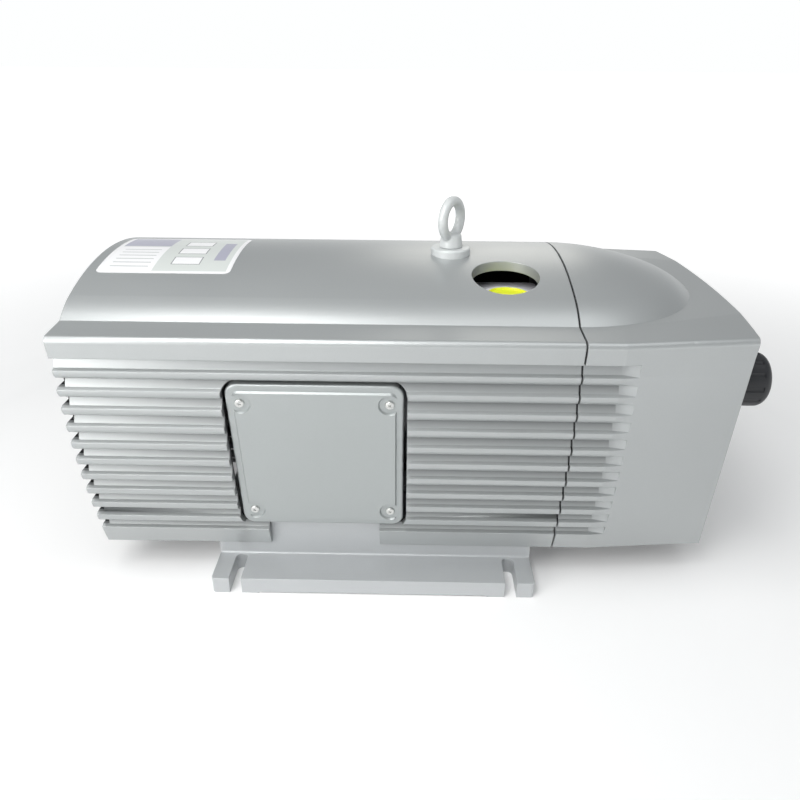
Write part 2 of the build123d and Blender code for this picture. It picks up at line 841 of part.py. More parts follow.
# Motor: finned housing with feet and a side pad for the terminal box
flange_top_z = pedestal_top + foot_flange
fin_root = housing_radius - over
with BuildPart() as motor_housing:
    with BuildSketch(across(motor_x0)):
        Circle(housing_radius)
        with PolarLocations((fin_root + fin_radius) / 2, fin_count):
            Rectangle(fin_radius - fin_root, fin_thickness)
    extrude(amount=motor_x1 - motor_x0)
    for x in motor_foot_xs:
        for side in (-1, 1):
            y = side * foot_bolt_half_y
            block(x - foot_flange_half, x + foot_flange_half, y - foot_flange_half, y + foot_flange_half,
                  pedestal_top, flange_top_z)
            block(x - foot_web / 2, x + foot_web / 2, side * foot_web_inner, side * foot_web_outer, pedestal_top,
                  shaft_z - foot_web_drop)
    block(lid_centre_x - terminal_pad_half, lid_centre_x + terminal_pad_half, terminal_pad_y, 0,
          shaft_z - terminal_pad_half_height, shaft_z + terminal_pad_half_height)
    bore(motor_x0, motor_x1, housing_bore)
    for x in motor_foot_xs:
        for side in (-1, 1):
            post(x, side * foot_bolt_half_y, pedestal_top, flange_top_z, foot_bolt_radius + loose_gap,
                 mode=Mode.SUBTRACT)
    with BuildSketch(Plane.XZ) as cable_way:
        with Locations((lid_centre_x, cable_way_z)):
            Circle(cable_way_radius)
    extrude(cable_way.sketch, amount=over - terminal_pad_y, mode=Mode.SUBTRACT)
finish(motor_housing, "motor_housing")

with BuildPart() as foot_bolts:
    for x in motor_foot_xs:
        for side in (-1, 1):
            y = side * foot_bolt_half_y
            with BuildSketch(Plane.XY.offset(flange_top_z)) as head:
                with Locations((x, y)):
                    RegularPolygon(bolt_head_radius, 6)
            extrude(head.sketch, amount=bolt_head_height)
            post(x, y, pedestal_top, flange_top_z, foot_bolt_radius)
finish(foot_bolts, "foot_bolts")

# Motor inside: stator pack, end windings, cage rotor
core_x0 = motor_x0 + core_setback
core_x1 = core_x0 + core_length
winding_outer = housing_bore - winding_outer_step
winding_inner = cage_radius + winding_inner_step
with BuildPart() as stator_core:
    ring(core_x0, core_x1, housing_bore, cage_radius + rotor_air_gap)
finish(stator_core, "stator_core")

with BuildPart() as stator_windings:
    ring(core_x0 - winding_length, core_x0, winding_outer, winding_inner)
    ring(core_x1, core_x1 + winding_length, winding_outer, winding_inner)
finish(stator_windings, "stator_windings")

fan_x1 = rear_shield_x0 - fan_gap
fan_x0 = fan_x1 - fan_length
motor_hub_x0 = lantern_x0 + hub_setback
motor_hub_x1 = motor_hub_x0 + hub_length
with BuildPart() as motor_shaft:
    ring(fan_x0 - shaft_overhang, motor_x0 + shoulder_setback, fan_end_radius)
    ring(motor_x0 + shoulder_setback, motor_x1 - shoulder_setback, shaft_core_radius)
    ring(motor_x1 - shoulder_setback, motor_hub_x1, shaft_end_radius)
finish(motor_shaft, "motor_shaft")

cage_ring_outer = cage_radius - cage_ring_step
cage_ring_inner = cage_ring_outer - cage_ring_height
with BuildPart() as cage_rotor:
    ring(core_x0, core_x1, cage_radius, shaft_core_radius)
    ring(core_x0 - cage_ring_length, core_x0, cage_ring_outer, cage_ring_inner)
    ring(core_x1, core_x1 + cage_ring_length, cage_ring_outer, cage_ring_inner)
finish(cage_rotor, "cage_rotor")

# Bearing shields at both ends of the motor
shield_rim = fin_radius - shield_step
rear_bearing_x0 = rear_shield_x0 + bearing_shoulder
front_bearing_x1 = lantern_x0 - bearing_shoulder
with BuildPart() as rear_shield:
    ring(rear_shield_x0, motor_x0, shield_rim)
    bore(rear_bearing_x0, motor_x0, bearing_radius)
    bore(rear_shield_x0, motor_x0, fan_end_radius + shaft_way)
    with BuildSketch(across(rear_shield_x0)) as pockets:
        with PolarLocations(shield_pocket_circle, shield_pockets, start_angle=30):
            Circle(shield_pocket_radius)
    extrude(pockets.sketch, amount=end_shield - shield_floor, mode=Mode.SUBTRACT)
finish(rear_shield, "rear_shield")

with BuildPart() as front_flange:
    ring(motor_x1, lantern_x0, fin_radius)
    bore(motor_x1, front_bearing_x1, bearing_radius)
    bore(motor_x1, lantern_x0, shaft_end_radius + shaft_way)
finish(front_flange, "front_flange")

with BuildPart() as motor_bearings:
    ring(rear_bearing_x0, motor_x0, bearing_radius, fan_end_radius + running)
    ring(motor_x1, front_bearing_x1, bearing_radius, shaft_end_radius + running)
finish(motor_bearings, "motor_bearings")

# Motor fan under its cowl, which has a guard with four spokes at its mouth
with BuildPart() as motor_fan:
    fan_wheel(fan_x0, fan_length, fan_x1 - fan_disc, fan_hub_radius, fan_radius, fan_end_radius, fan_blades)
finish(motor_fan, "motor_fan")

cowl_x0 = fan_x0 - cowl_space
cowl_x1 = rear_shield_x0 + cowl_lap
cowl_bore = shield_rim + seat_gap
with BuildPart() as fan_cowl:
    ring(cowl_x0, cowl_x1, cowl_bore + cowl_wall, cowl_bore)
finish(fan_cowl, "fan_cowl")

with BuildPart() as cowl_guard:
    ring(cowl_x0, cowl_x0 + cowl_wall, cowl_bore, guard_rim_bore)
    ring(cowl_x0, cowl_x0 + cowl_wall, guard_hub_radius)
    with BuildSketch(across(cowl_x0)) as spokes:
        with PolarLocations((guard_hub_radius + guard_rim_bore) / 2, guard_spokes, start_angle=guard_turn):
            Rectangle(guard_rim_bore - guard_hub_radius + 2 * over, guard_spoke_width)
    extrude(spokes.sketch, amount=cowl_wall)
finish(cowl_guard, "cowl_guard")

# Terminal box: it leans with the hood's side, so that its lid lies flush in the window
lid_lean = degrees(atan2(lid_top_y - lid_bottom_y, lid_top_z - lid_bottom_z))
lid_height = sqrt((lid_top_y - lid_bottom_y) ** 2 + (lid_top_z - lid_bottom_z) ** 2)
lid_face = Plane(origin=(lid_centre_x, -(lid_top_y + lid_bottom_y) / 2, (lid_top_z + lid_bottom_z) / 2),
                 x_dir=(1, 0, 0), z_dir=(0, -cos(radians(lid_lean)), -sin(radians(lid_lean))))
lid_screw_x = lid_width - 2 * lid_screw_inset_x
lid_screw_y = lid_height - 2 * lid_screw_inset_y
lid_back = lid_face.offset(-lid_rim)
box_face = lid_back.offset(-gasket_thickness)
box_width = lid_width - 2 * box_margin
box_height = lid_height - 2 * box_margin
box_corner_radius = lid_corner_radius - box_margin
box_hollow_width = box_width - 2 * box_side
box_hollow_height = box_height - 2 * box_end
box_reach = lid_top_y + terminal_pad_y


def at_lid_screws(plane, radius):
    """One disc at each of the lid's four screws, on a plane along the lid."""
    with BuildSketch(plane) as discs:
        with GridLocations(lid_screw_x, lid_screw_y, 2, 2):
            Circle(radius)
    return discs.sketch


with BuildPart() as terminal_lid:
    with BuildSketch(lid_back):
        RectangleRounded(lid_width, lid_height, lid_corner_radius)
    extrude(amount=lid_rim)
    fillet(terminal_lid.faces().sort_by(Axis(lid_face.origin, lid_face.z_dir))[-1].edges(), lid_edge_radius)
    with BuildSketch(lid_face):
        RectangleRounded(lid_width - 2 * lid_panel_margin, lid_height - 2 * lid_panel_margin,
                         lid_panel_radius)
        with GridLocations(lid_screw_x, lid_screw_y, 2, 2):
            Circle(pocket_radius, mode=Mode.SUBTRACT)
    extrude(amount=lid_panel_height, taper=lid_panel_draft)
    with BuildSketch(lid_back):
        Rectangle(lid_width - 2 * lid_wall, lid_height - 2 * lid_wall)
        with GridLocations(lid_screw_x, lid_screw_y, 2, 2):
            Circle(lid_boss_radius, mode=Mode.SUBTRACT)
    extrude(amount=lid_rim - lid_wall, mode=Mode.SUBTRACT)
    extrude(at_lid_screws(lid_back, lid_screw_radius + bolt_gap), amount=lid_rim, mode=Mode.SUBTRACT)
finish(terminal_lid, "terminal_lid")

with BuildPart() as terminal_gasket:
    with BuildSketch(box_face):
        RectangleRounded(box_width, box_height, box_corner_radius)
        Rectangle(box_hollow_width, box_hollow_height, mode=Mode.SUBTRACT)
    extrude(amount=gasket_thickness)
    extrude(at_lid_screws(box_face, lid_screw_radius + bolt_gap), amount=gasket_thickness, mode=Mode.SUBTRACT)
finish(terminal_gasket, "terminal_gasket")

board_y = terminal_pad_y - box_wall
with BuildPart() as box_cavity:
    with BuildSketch(box_face):
        Rectangle(box_hollow_width, box_hollow_height)
    extrude(amount=-box_reach)
    block(hood_left, seam_x, board_y, belt_top_half, 0, crown_z, mode=Mode.SUBTRACT)

with BuildPart() as terminal_box:
    with BuildSketch(box_face):
        RectangleRounded(box_width, box_height, box_corner_radius)
    extrude(amount=-box_reach)
    block(hood_left, seam_x, terminal_pad_y, belt_top_half, 0, crown_z, mode=Mode.SUBTRACT)
    add(box_cavity.part, mode=Mode.SUBTRACT)
    with BuildSketch(Plane.XZ.offset(-terminal_pad_y)) as cable_hole:
        with Locations((lid_centre_x, cable_way_z)):
            Circle(cable_way_radius)
    extrude(cable_hole.sketch, amount=box_wall, mode=Mode.SUBTRACT)
    extrude(at_lid_screws(box_face, lid_screw_radius), amount=-(box_screw_depth + box_screw_spare),
            mode=Mode.SUBTRACT)
    bore(lid_centre_x, lid_centre_x + lid_width, gland_radius, gland_y, gland_z)
finish(terminal_box, "terminal_box")

with BuildPart() as terminal_screws:
    extrude(at_lid_screws(lid_face, lid_head_radius), amount=lid_head_height)
    extrude(at_lid_screws(lid_face, lid_screw_radius), amount=-(lid_rim + gasket_thickness + box_screw_depth))
finish(terminal_screws, "terminal_screws")

gland_x0 = lid_centre_x + box_width / 2
gland_x1 = gland_x0 + gland_hex_length
with BuildPart() as cable_gland:
    ring(gland_x0 - gland_thread_length, gland_x0, gland_radius, 0, gland_y, gland_z)
    with BuildSketch(across(gland_x0, gland_y, gland_z)):
        RegularPolygon(gland_hex, 6)
    extrude(amount=gland_hex_length)
    ring(gland_x1, gland_x1 + gland_cap_length, gland_cap_radius, gland_mouth_radius, gland_y, gland_z)
    ring(gland_x1, gland_x1 + gland_plug_length, gland_mouth_radius, 0, gland_y, gland_z)
finish(cable_gland, "cable_gland")

# Terminal board with its studs on the back wall of the box
with BuildPart() as terminal_board:
    block(lid_centre_x - board_half, lid_centre_x + board_half, board_y - board_thickness, board_y,
          board_z - board_half_height, board_z + board_half_height)
    with BuildSketch(Plane.XZ.offset(board_thickness - board_y)) as studs:
        with Locations((lid_centre_x, board_z)):
            with GridLocations(stud_pitch, stud_pitch, 3, 2):
                Circle(stud_radius)
    extrude(studs.sketch, amount=stud_length)
finish(terminal_board, "terminal_board")

# Lantern between motor and pump, with the jaw coupling inside and the pad for the lifting post on top
lantern_bore = fin_radius - lantern_wall
with BuildPart() as lantern:
    ring(lantern_x0, lantern_x1, fin_radius, lantern_bore)
    ring(lantern_x0, lantern_x0 + lantern_flange, fin_radius, lantern_flange_bore)
    ring(lantern_x1 - lantern_flange, lantern_x1, fin_radius, lantern_flange_bore)
    block(eye_x - lantern_boss_half_x, eye_x + lantern_boss_half_x, eye_y - lantern_boss_half_y,
          eye_y + lantern_boss_half_y, shaft_z + lantern_bore, lantern_top_z)
    block(lantern_x0 + lantern_window_margin, lantern_x1 - lantern_window_margin, -fin_radius, fin_radius,
          shaft_z - lantern_window_half, shaft_z + lantern_window_half, mode=Mode.SUBTRACT)
    bore(lantern_x0 + lantern_flange, lantern_x1 - lantern_flange, lantern_bore)
finish(lantern, "lantern")

pump_hub_x0 = motor_hub_x1 + jaw_length
pump_hub_x1 = lantern_x1 - hub_setback
with BuildPart() as coupling_motor_half:
    ring(motor_hub_x0, motor_hub_x1, hub_radius, shaft_end_radius)
    with BuildSketch(across(motor_hub_x1)):
        with PolarLocations(jaw_mid_radius, jaw_count):
            Rectangle(jaw_height, jaw_width)
    extrude(amount=jaw_length)
finish(coupling_motor_half, "coupling_motor_half")

with BuildPart() as coupling_pump_half:
    ring(pump_hub_x0, pump_hub_x1, hub_radius, pump_shaft_radius)
    with BuildSketch(across(pump_hub_x0)):
        with PolarLocations(jaw_mid_radius, jaw_count, start_angle=180 / jaw_count):
            Rectangle(jaw_height, jaw_width)
    extrude(amount=-jaw_length)
finish(coupling_pump_half, "coupling_pump_half")

with BuildPart() as coupling_spider:
    ring(motor_hub_x1, pump_hub_x0, spider_ring, spider_bore)
    with BuildSketch(across(motor_hub_x1)):
        with PolarLocations(jaw_mid_radius, 2 * jaw_count, start_angle=90 / jaw_count):
            Rectangle(spider_arm_length, spider_arm_width)
    extrude(amount=jaw_length)
finish(coupling_spider, "coupling_spider")

# Pump: cylinder bored off the shaft's centre line, slotted rotor and vanes
port_block = (port_x - port_block_half, port_x + port_block_half, port_y - port_block_half, port_y + port_block_half)
with BuildPart() as pump_cylinder:
    with BuildSketch(across(cylinder_x0, 0, bore_z)):
        Circle(casing_radius)
        with PolarLocations(casing_radius, cylinder_fin_count):
            Rectangle(2 * cylinder_fin_height, cylinder_fin_thickness)
    extrude(amount=cylinder_length)
    block(*port_block, bore_z, port_block_top)
    for side in (-1, 1):
        block(pump_foot_x0, pump_foot_x0 + pump_foot_length, side * pump_foot_inner, side * pump_foot_outer,
              pedestal_top, pedestal_top + pump_foot_height)
        block(pump_foot_x0, pump_foot_x0 + pump_foot_length, side * pump_foot_inner,
              side * (pump_foot_inner + pump_web), pedestal_top, bore_z - pump_web_top)
    bore(cylinder_x0, cylinder_x1, bore_radius, 0, bore_z)
    post(port_x, port_y, bore_z + port_floor, port_block_top, port_bore_radius, mode=Mode.SUBTRACT)
finish(pump_cylinder, "pump_cylinder")

vane_tip = rotor_radius - vane_tip_inset
slot_floor = vane_tip - vane_height
with BuildPart() as pump_rotor:
    ring(cylinder_x0 + side_clearance, cylinder_x1 - side_clearance, rotor_radius, pump_shaft_radius)
    with BuildSketch(across(cylinder_x0)) as vane_slots:
        with PolarLocations((slot_floor + rotor_radius + over) / 2, vane_count, start_angle=90):
            Rectangle(rotor_radius + over - slot_floor, vane_thickness + vane_side_gap)
    extrude(vane_slots.sketch, amount=cylinder_length, mode=Mode.SUBTRACT)
finish(pump_rotor, "pump_rotor")

with BuildPart() as vanes:
    with BuildSketch(across(cylinder_x0 + side_clearance)):
        with PolarLocations((slot_floor + vane_root_gap + vane_tip) / 2, vane_count, start_angle=90):
            Rectangle(vane_height - vane_root_gap, vane_thickness)
    extrude(amount=cylinder_length - 2 * side_clearance)
finish(vanes, "vanes")

pump_shaft_x1 = cooling_fan_x0 + cooling_fan_length + shaft_overhang
with BuildPart() as pump_shaft:
    ring(pump_hub_x0, pump_shaft_x1, pump_shaft_radius)
finish(pump_shaft, "pump_shaft")

# Side covers with the pump's bearings and shaft seals
side_cover_radius = fin_radius - side_cover_step
seal_outer = pump_shaft_radius + seal_height
rear_seal_x0 = lantern_x1 + pump_bearing_width
front_seal_x1 = front_cover_x1 - pump_bearing_width
with BuildPart() as rear_side_cover:
    ring(lantern_x1, cylinder_x0, side_cover_radius)
    bore(lantern_x1, rear_seal_x0, pump_bearing_radius)
    bore(lantern_x1, cylinder_x0, seal_outer)
finish(rear_side_cover, "rear_side_cover")

with BuildPart() as front_side_cover:
    ring(cylinder_x1, front_cover_x1, side_cover_radius)
    bore(front_seal_x1, front_cover_x1, pump_bearing_radius)
    bore(cylinder_x1, front_cover_x1, seal_outer)
finish(front_side_cover, "front_side_cover")

with BuildPart() as pump_bearings:
    ring(lantern_x1, rear_seal_x0, pump_bearing_radius, pump_shaft_radius + running)
    ring(front_seal_x1, front_cover_x1, pump_bearing_radius, pump_shaft_radius + running)
finish(pump_bearings, "pump_bearings")

with BuildPart() as shaft_seals:
    ring(rear_seal_x0, cylinder_x0, seal_outer, pump_shaft_radius + running)
    ring(cylinder_x1, front_seal_x1, seal_outer, pump_shaft_radius + running)
finish(shaft_seals, "shaft_seals")

with BuildPart() as cover_bolts:
    with BuildSketch(across(front_cover_x1)):
        with PolarLocations(cover_bolt_circle, cover_bolt_count, start_angle=180 / cover_bolt_count):
            RegularPolygon(cover_bolt_head, 6)
    extrude(amount=cover_bolt_height)
finish(cover_bolts, "cover_bolts")

# Cooling fan on the pump's free shaft end, inside a shroud that carries the filter housing
with BuildPart() as cooling_fan:
    fan_wheel(cooling_fan_x0, cooling_fan_length, cooling_fan_x0, cooling_hub_radius, cooling_fan_radius,
              pump_shaft_radius, cooling_blades)
finish(cooling_fan, "cooling_fan")

with BuildPart() as fan_shroud:
    ring(front_cover_x1, shroud_x1, side_cover_radius, side_cover_radius - shroud_wall)
    block(front_cover_x1 + shroud_window_margin, shroud_x1 - shroud_window_margin, -shroud_window_half,
          shroud_window_half, pedestal_top, shaft_z - shroud_window_drop, mode=Mode.SUBTRACT)
finish(fan_shroud, "fan_shroud")

# Filter housing: back plate with a window, a can for the exhaust filter and the seat of the regulator
can_x1 = plate_x1 + can_length
with BuildPart() as filter_housing:
    block(shroud_x1, plate_x1, -plate_front, plate_back, shaft_z - plate_below, shaft_z + plate_above)
    ring(plate_x1, can_x1, can_radius, 0, can_y, can_z)
    bore(plate_x1, can_x1, can_radius - can_wall, can_y, can_z)
    block(shroud_x1, plate_x1, -air_window_outer, -air_window_inner, shaft_z - air_window_below,
          shaft_z + air_window_above, mode=Mode.SUBTRACT)
finish(filter_housing, "filter_housing")

with BuildPart() as exhaust_filter:
    ring(plate_x1, can_x1, filter_radius, filter_bore, can_y, can_z)
finish(exhaust_filter, "exhaust_filter")

with BuildPart() as filter_cap:
    ring(can_x1, can_x1 + cap_plate, can_radius + cap_plate_lap, 0, can_y, can_z)
    ring(can_x1 + cap_plate, can_x1 + cap_plate + cap_boss_length, cap_boss_radius, 0, can_y, can_z)
finish(filter_cap, "filter_cap")

# Suction riser: plate under the hood's access hole, valve chamber, and foot on the cylinder's port block
neck_top_z = port_plate_z + neck_height
with BuildPart() as suction_riser:
    block(*port_block, port_block_top, port_block_top + riser_foot)
    post(port_x, port_y, port_block_top, port_plate_z, riser_radius)
    with BuildSketch(Plane.XY.offset(port_plate_z - riser_plate)):
        with Locations((port_x, port_y + (riser_plate_back - riser_plate_front) / 2)):
            RectangleRounded(riser_plate_length, riser_plate_back + riser_plate_front, riser_plate_corner)
    extrude(amount=riser_plate)
    post(port_x, port_y, port_plate_z, neck_top_z, neck_radius)
    post(port_x, port_y, port_block_top, valve_seat_z, chamber_radius, mode=Mode.SUBTRACT)
    post(port_x, port_y, valve_seat_z, valve_seat_z + seat_thickness, seat_hole_radius, mode=Mode.SUBTRACT)
    post(port_x, port_y, valve_seat_z + seat_thickness, neck_top_z, port_bore_radius, mode=Mode.SUBTRACT)
finish(suction_riser, "suction_riser")

# Non-return valve: disc with a guide stem, its spider on the port block and a light spring between
spider_top_z = port_block_top + spider_height
spoke_half_length = chamber_radius - (seat_gap + spider_rim) / 2
disc_low_z = valve_seat_z - disc_thickness
with BuildPart() as valve_spider:
    post(port_x, port_y, port_block_top, spider_top_z, chamber_radius - seat_gap, chamber_radius - spider_rim)
    with BuildSketch(Plane.XY.offset(port_block_top)) as spokes:
        with Locations((port_x, port_y)):
            Rectangle(2 * spoke_half_length, spider_spoke_width)
            Rectangle(spider_spoke_width, 2 * spoke_half_length)
    extrude(spokes.sketch, amount=spider_height)
    post(port_x, port_y, port_block_top, port_block_top + spider_guide_height, spider_guide_radius)
    post(port_x, port_y, port_block_top, port_block_top + spider_guide_height, stem_radius + stem_gap,
         mode=Mode.SUBTRACT)
finish(valve_spider, "valve_spider")

with BuildPart() as valve_disc:
    post(port_x, port_y, disc_low_z, valve_seat_z, disc_radius)
    post(port_x, port_y, port_block_top + valve_travel + valve_stem_margin, disc_low_z, stem_radius)
finish(valve_disc, "valve_disc")

valve_coil_low_z = spider_top_z + valve_wire + coil_gap
with BuildPart() as valve_spring:
    with BuildLine(Plane(origin=(port_x, port_y, valve_coil_low_z))) as coil:
        Helix(pitch=coil_pitch, height=disc_low_z - valve_wire - coil_gap - valve_coil_low_z,
              radius=valve_coil_radius)
    with BuildSketch(Plane(origin=coil.line @ 0, z_dir=coil.line % 0)):
        Circle(valve_wire)
    sweep(is_frenet=True)
finish(valve_spring, "valve_spring")

# Yellow cap over the port's neck
with BuildPart() as suction_cap:
    post(port_x, port_y, port_plate_z, neck_top_z + cap_top, cap_radius)
    post(port_x, port_y, port_plate_z, neck_top_z, neck_radius + seat_gap, mode=Mode.SUBTRACT)
    fillet(suction_cap.edges().group_by(Axis.Z)[-1], cap_edge_radius)
finish(suction_cap, "suction_cap")

# Vacuum regulator: body on the filter housing, sprung poppet, spindle with its travelling plate, and the knob
body_x1 = knob_back_x - body_setback
body_cap_x0 = body_x1 - body_cap
regulator_seat_x = plate_x1 + regulator_seat
poppet_x1 = regulator_seat_x + poppet_thickness
spring_plate_x0 = knob_back_x - spring_plate_setback
with BuildPart() as regulator_body:
    ring(plate_x1, body_x1, body_radius, 0, knob_y, knob_z)
    bore(regulator_seat_x, body_cap_x0, body_radius - body_wall, knob_y, knob_z)
    bore(plate_x1, regulator_seat_x, regulator_orifice, knob_y, knob_z)
    bore(body_cap_x0, body_x1, spindle_radius + running, knob_y, knob_z)
finish(regulator_body, "regulator_body")

with BuildPart() as regulator_poppet:
    ring(regulator_seat_x, poppet_x1, poppet_radius, 0, knob_y, knob_z)
finish(regulator_poppet, "regulator_poppet")

with BuildPart() as regulator_plate:
    ring(spring_plate_x0, spring_plate_x0 + spring_plate_thickness, spring_plate_radius, spindle_radius + running,
         knob_y, knob_z)
finish(regulator_plate, "regulator_plate")

regulator_coil_x0 = poppet_x1 + regulator_wire + coil_gap
with BuildPart() as regulator_spring:
    with BuildLine() as coil:
        Helix(pitch=coil_pitch, height=spring_plate_x0 - regulator_wire - coil_gap - regulator_coil_x0,
              radius=regulator_coil_radius, center=(regulator_coil_x0, knob_y, knob_z), direction=(1, 0, 0))
    with BuildSketch(Plane(origin=coil.line @ 0, z_dir=coil.line % 0)):
        Circle(regulator_wire)
    sweep(is_frenet=True)
finish(regulator_spring, "regulator_spring")

with BuildPart() as regulator_spindle:
    ring(spring_plate_x0 - spindle_tail, knob_back_x, spindle_radius, 0, knob_y, knob_z)
finish(regulator_spindle, "regulator_spindle")

with BuildPart() as regulator_knob:
    ring(knob_back_x, knob_back_x + knob_length, knob_radius, 0, knob_y, knob_z)
    fillet(regulator_knob.faces().sort_by(Axis.X)[-1].edges(), knob_dome)
    fillet(regulator_knob.faces().sort_by(Axis.X)[0].edges(), knob_back_edge)
    with BuildSketch(across(knob_back_x - over, knob_y, knob_z)) as flutes:
        with PolarLocations(knob_radius + knob_flute_radius - knob_flute_depth, knob_flutes):
            Circle(knob_flute_radius)
    extrude(flutes.sketch, amount=knob_length - knob_flute_margin, mode=Mode.SUBTRACT)
finish(regulator_knob, "regulator_knob")
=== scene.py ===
from math import cos, radians, sin, sqrt, tan

import bpy
from mathutils import Matrix, Vector


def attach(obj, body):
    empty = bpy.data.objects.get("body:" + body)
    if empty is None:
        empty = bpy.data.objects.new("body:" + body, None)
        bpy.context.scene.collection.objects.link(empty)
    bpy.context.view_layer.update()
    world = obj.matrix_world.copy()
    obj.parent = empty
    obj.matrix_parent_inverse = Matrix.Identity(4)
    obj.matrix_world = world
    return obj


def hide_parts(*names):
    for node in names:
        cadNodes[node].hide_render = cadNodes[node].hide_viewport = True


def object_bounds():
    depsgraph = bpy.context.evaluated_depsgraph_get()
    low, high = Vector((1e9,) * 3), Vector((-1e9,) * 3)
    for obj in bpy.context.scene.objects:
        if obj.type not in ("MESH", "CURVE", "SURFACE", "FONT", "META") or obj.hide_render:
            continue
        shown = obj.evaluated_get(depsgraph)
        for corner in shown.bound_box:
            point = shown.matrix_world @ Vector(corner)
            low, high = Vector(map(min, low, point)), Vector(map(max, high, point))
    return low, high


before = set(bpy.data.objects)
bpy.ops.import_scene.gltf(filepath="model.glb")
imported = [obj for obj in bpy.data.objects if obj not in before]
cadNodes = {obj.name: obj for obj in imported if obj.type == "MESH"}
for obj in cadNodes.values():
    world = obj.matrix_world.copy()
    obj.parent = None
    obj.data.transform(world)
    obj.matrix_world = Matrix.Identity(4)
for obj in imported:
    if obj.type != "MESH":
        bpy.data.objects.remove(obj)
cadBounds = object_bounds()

allMaterials = {}
print("scene: frame loaded,", len(cadNodes), "nodes")

# What a user would change about the view and the light
cameraSettings = {
    "place": (0.0474, -1.0234, 0.6910),
    "lens": 32.22,
    "sensor": 36.0,
    "pitchDown": 26.04,
    "yaw": -0.82,
    "roll": 0.46,
}
lightSettings = {
    "key": {"place": (-1.55, -1.62, 0.95), "size": 1.1, "power": 24, "colour": (1.0, 0.995, 0.98)},
    "top": {"place": (-0.6, -0.7, 2.2), "size": 1.2, "power": 22, "colour": (1.0, 1.0, 0.99)},
    "topRight": {"place": (0.8, -0.4, 2.3), "size": 1.4, "power": 6, "colour": (0.98, 1.0, 1.0)},
    "front": {"place": (-0.55, -1.65, 2.0), "size": 0.8, "power": 13, "colour": (1.0, 1.0, 0.99)},
    "fill": {"place": (2.4, -1.3, 1.0), "size": 1.8, "power": 0.5, "colour": (0.85, 0.92, 1.0)},
    "back": {"place": (0.45, 2.4, 1.4), "size": 1.2, "power": 5, "colour": (1.0, 0.97, 0.90)},
}
lightAim = (0.05, 0.0, 0.25)
# The room is white at eye level and darker overhead
worldSettings = {
    "level": (0.99, 1.0, 1.0), "overhead": (0.33, 0.34, 0.35), "whiteUpTo": 0.06, "darkFrom": 0.28,
}
# The floor glows a little more away from the pump, so that it stays white where the lamps don't reach
floorSettings = {
    "size": 60.0, "sink": 0.0002, "colour": (0.80, 0.80, 0.80), "darkTone": 0.99, "cloudScale": 0.6,
    "roughness": 0.85, "specular": 0.2, "near": 0.9, "far": 2.4, "nearGlow": 0.12, "farGlow": 0.72,
}
# Half of a noise's range, around which it makes a surface rougher or smoother
noiseMiddle = 0.5
# Sockets of the mix node in its colour mode
mixSockets = {"share": 0, "first": 6, "second": 7, "result": 2}
# Rays that the softened edges of the paint are made with
edgeSamples = 4


class Wire:  # a node's output that can be written in sums

    def __init__(self, finish, socket):
        self.finish = finish
        self.socket = socket

    def join(self, operation, first, second=None):
        values = {0: first} if second is None else {0: first, 1: second}
        return self.finish.node("ShaderNodeMath", {"operation": operation}, values)

    def __add__(self, other):
        return self.join("ADD", self, other)

    def __radd__(self, other):
        return self.join("ADD", other, self)

    def __sub__(self, other):
        return self.join("SUBTRACT", self, other)

    def __rsub__(self, other):
        return self.join("SUBTRACT", other, self)

    def __mul__(self, other):
        return self.join("MULTIPLY", self, other)

    def __rmul__(self, other):
        return self.join("MULTIPLY", other, self)

    def __gt__(self, other):
        return self.join("GREATER_THAN", self, other)

    def __lt__(self, other):
        return self.join("LESS_THAN", self, other)

    def __abs__(self):
        return self.join("ABSOLUTE", self)

    def root(self):
        return self.join("SQRT", self)

    def spread(self, amount):
        return (self - noiseMiddle) * amount

    def within(self, low, high):
        return (self > low) * (self < high)


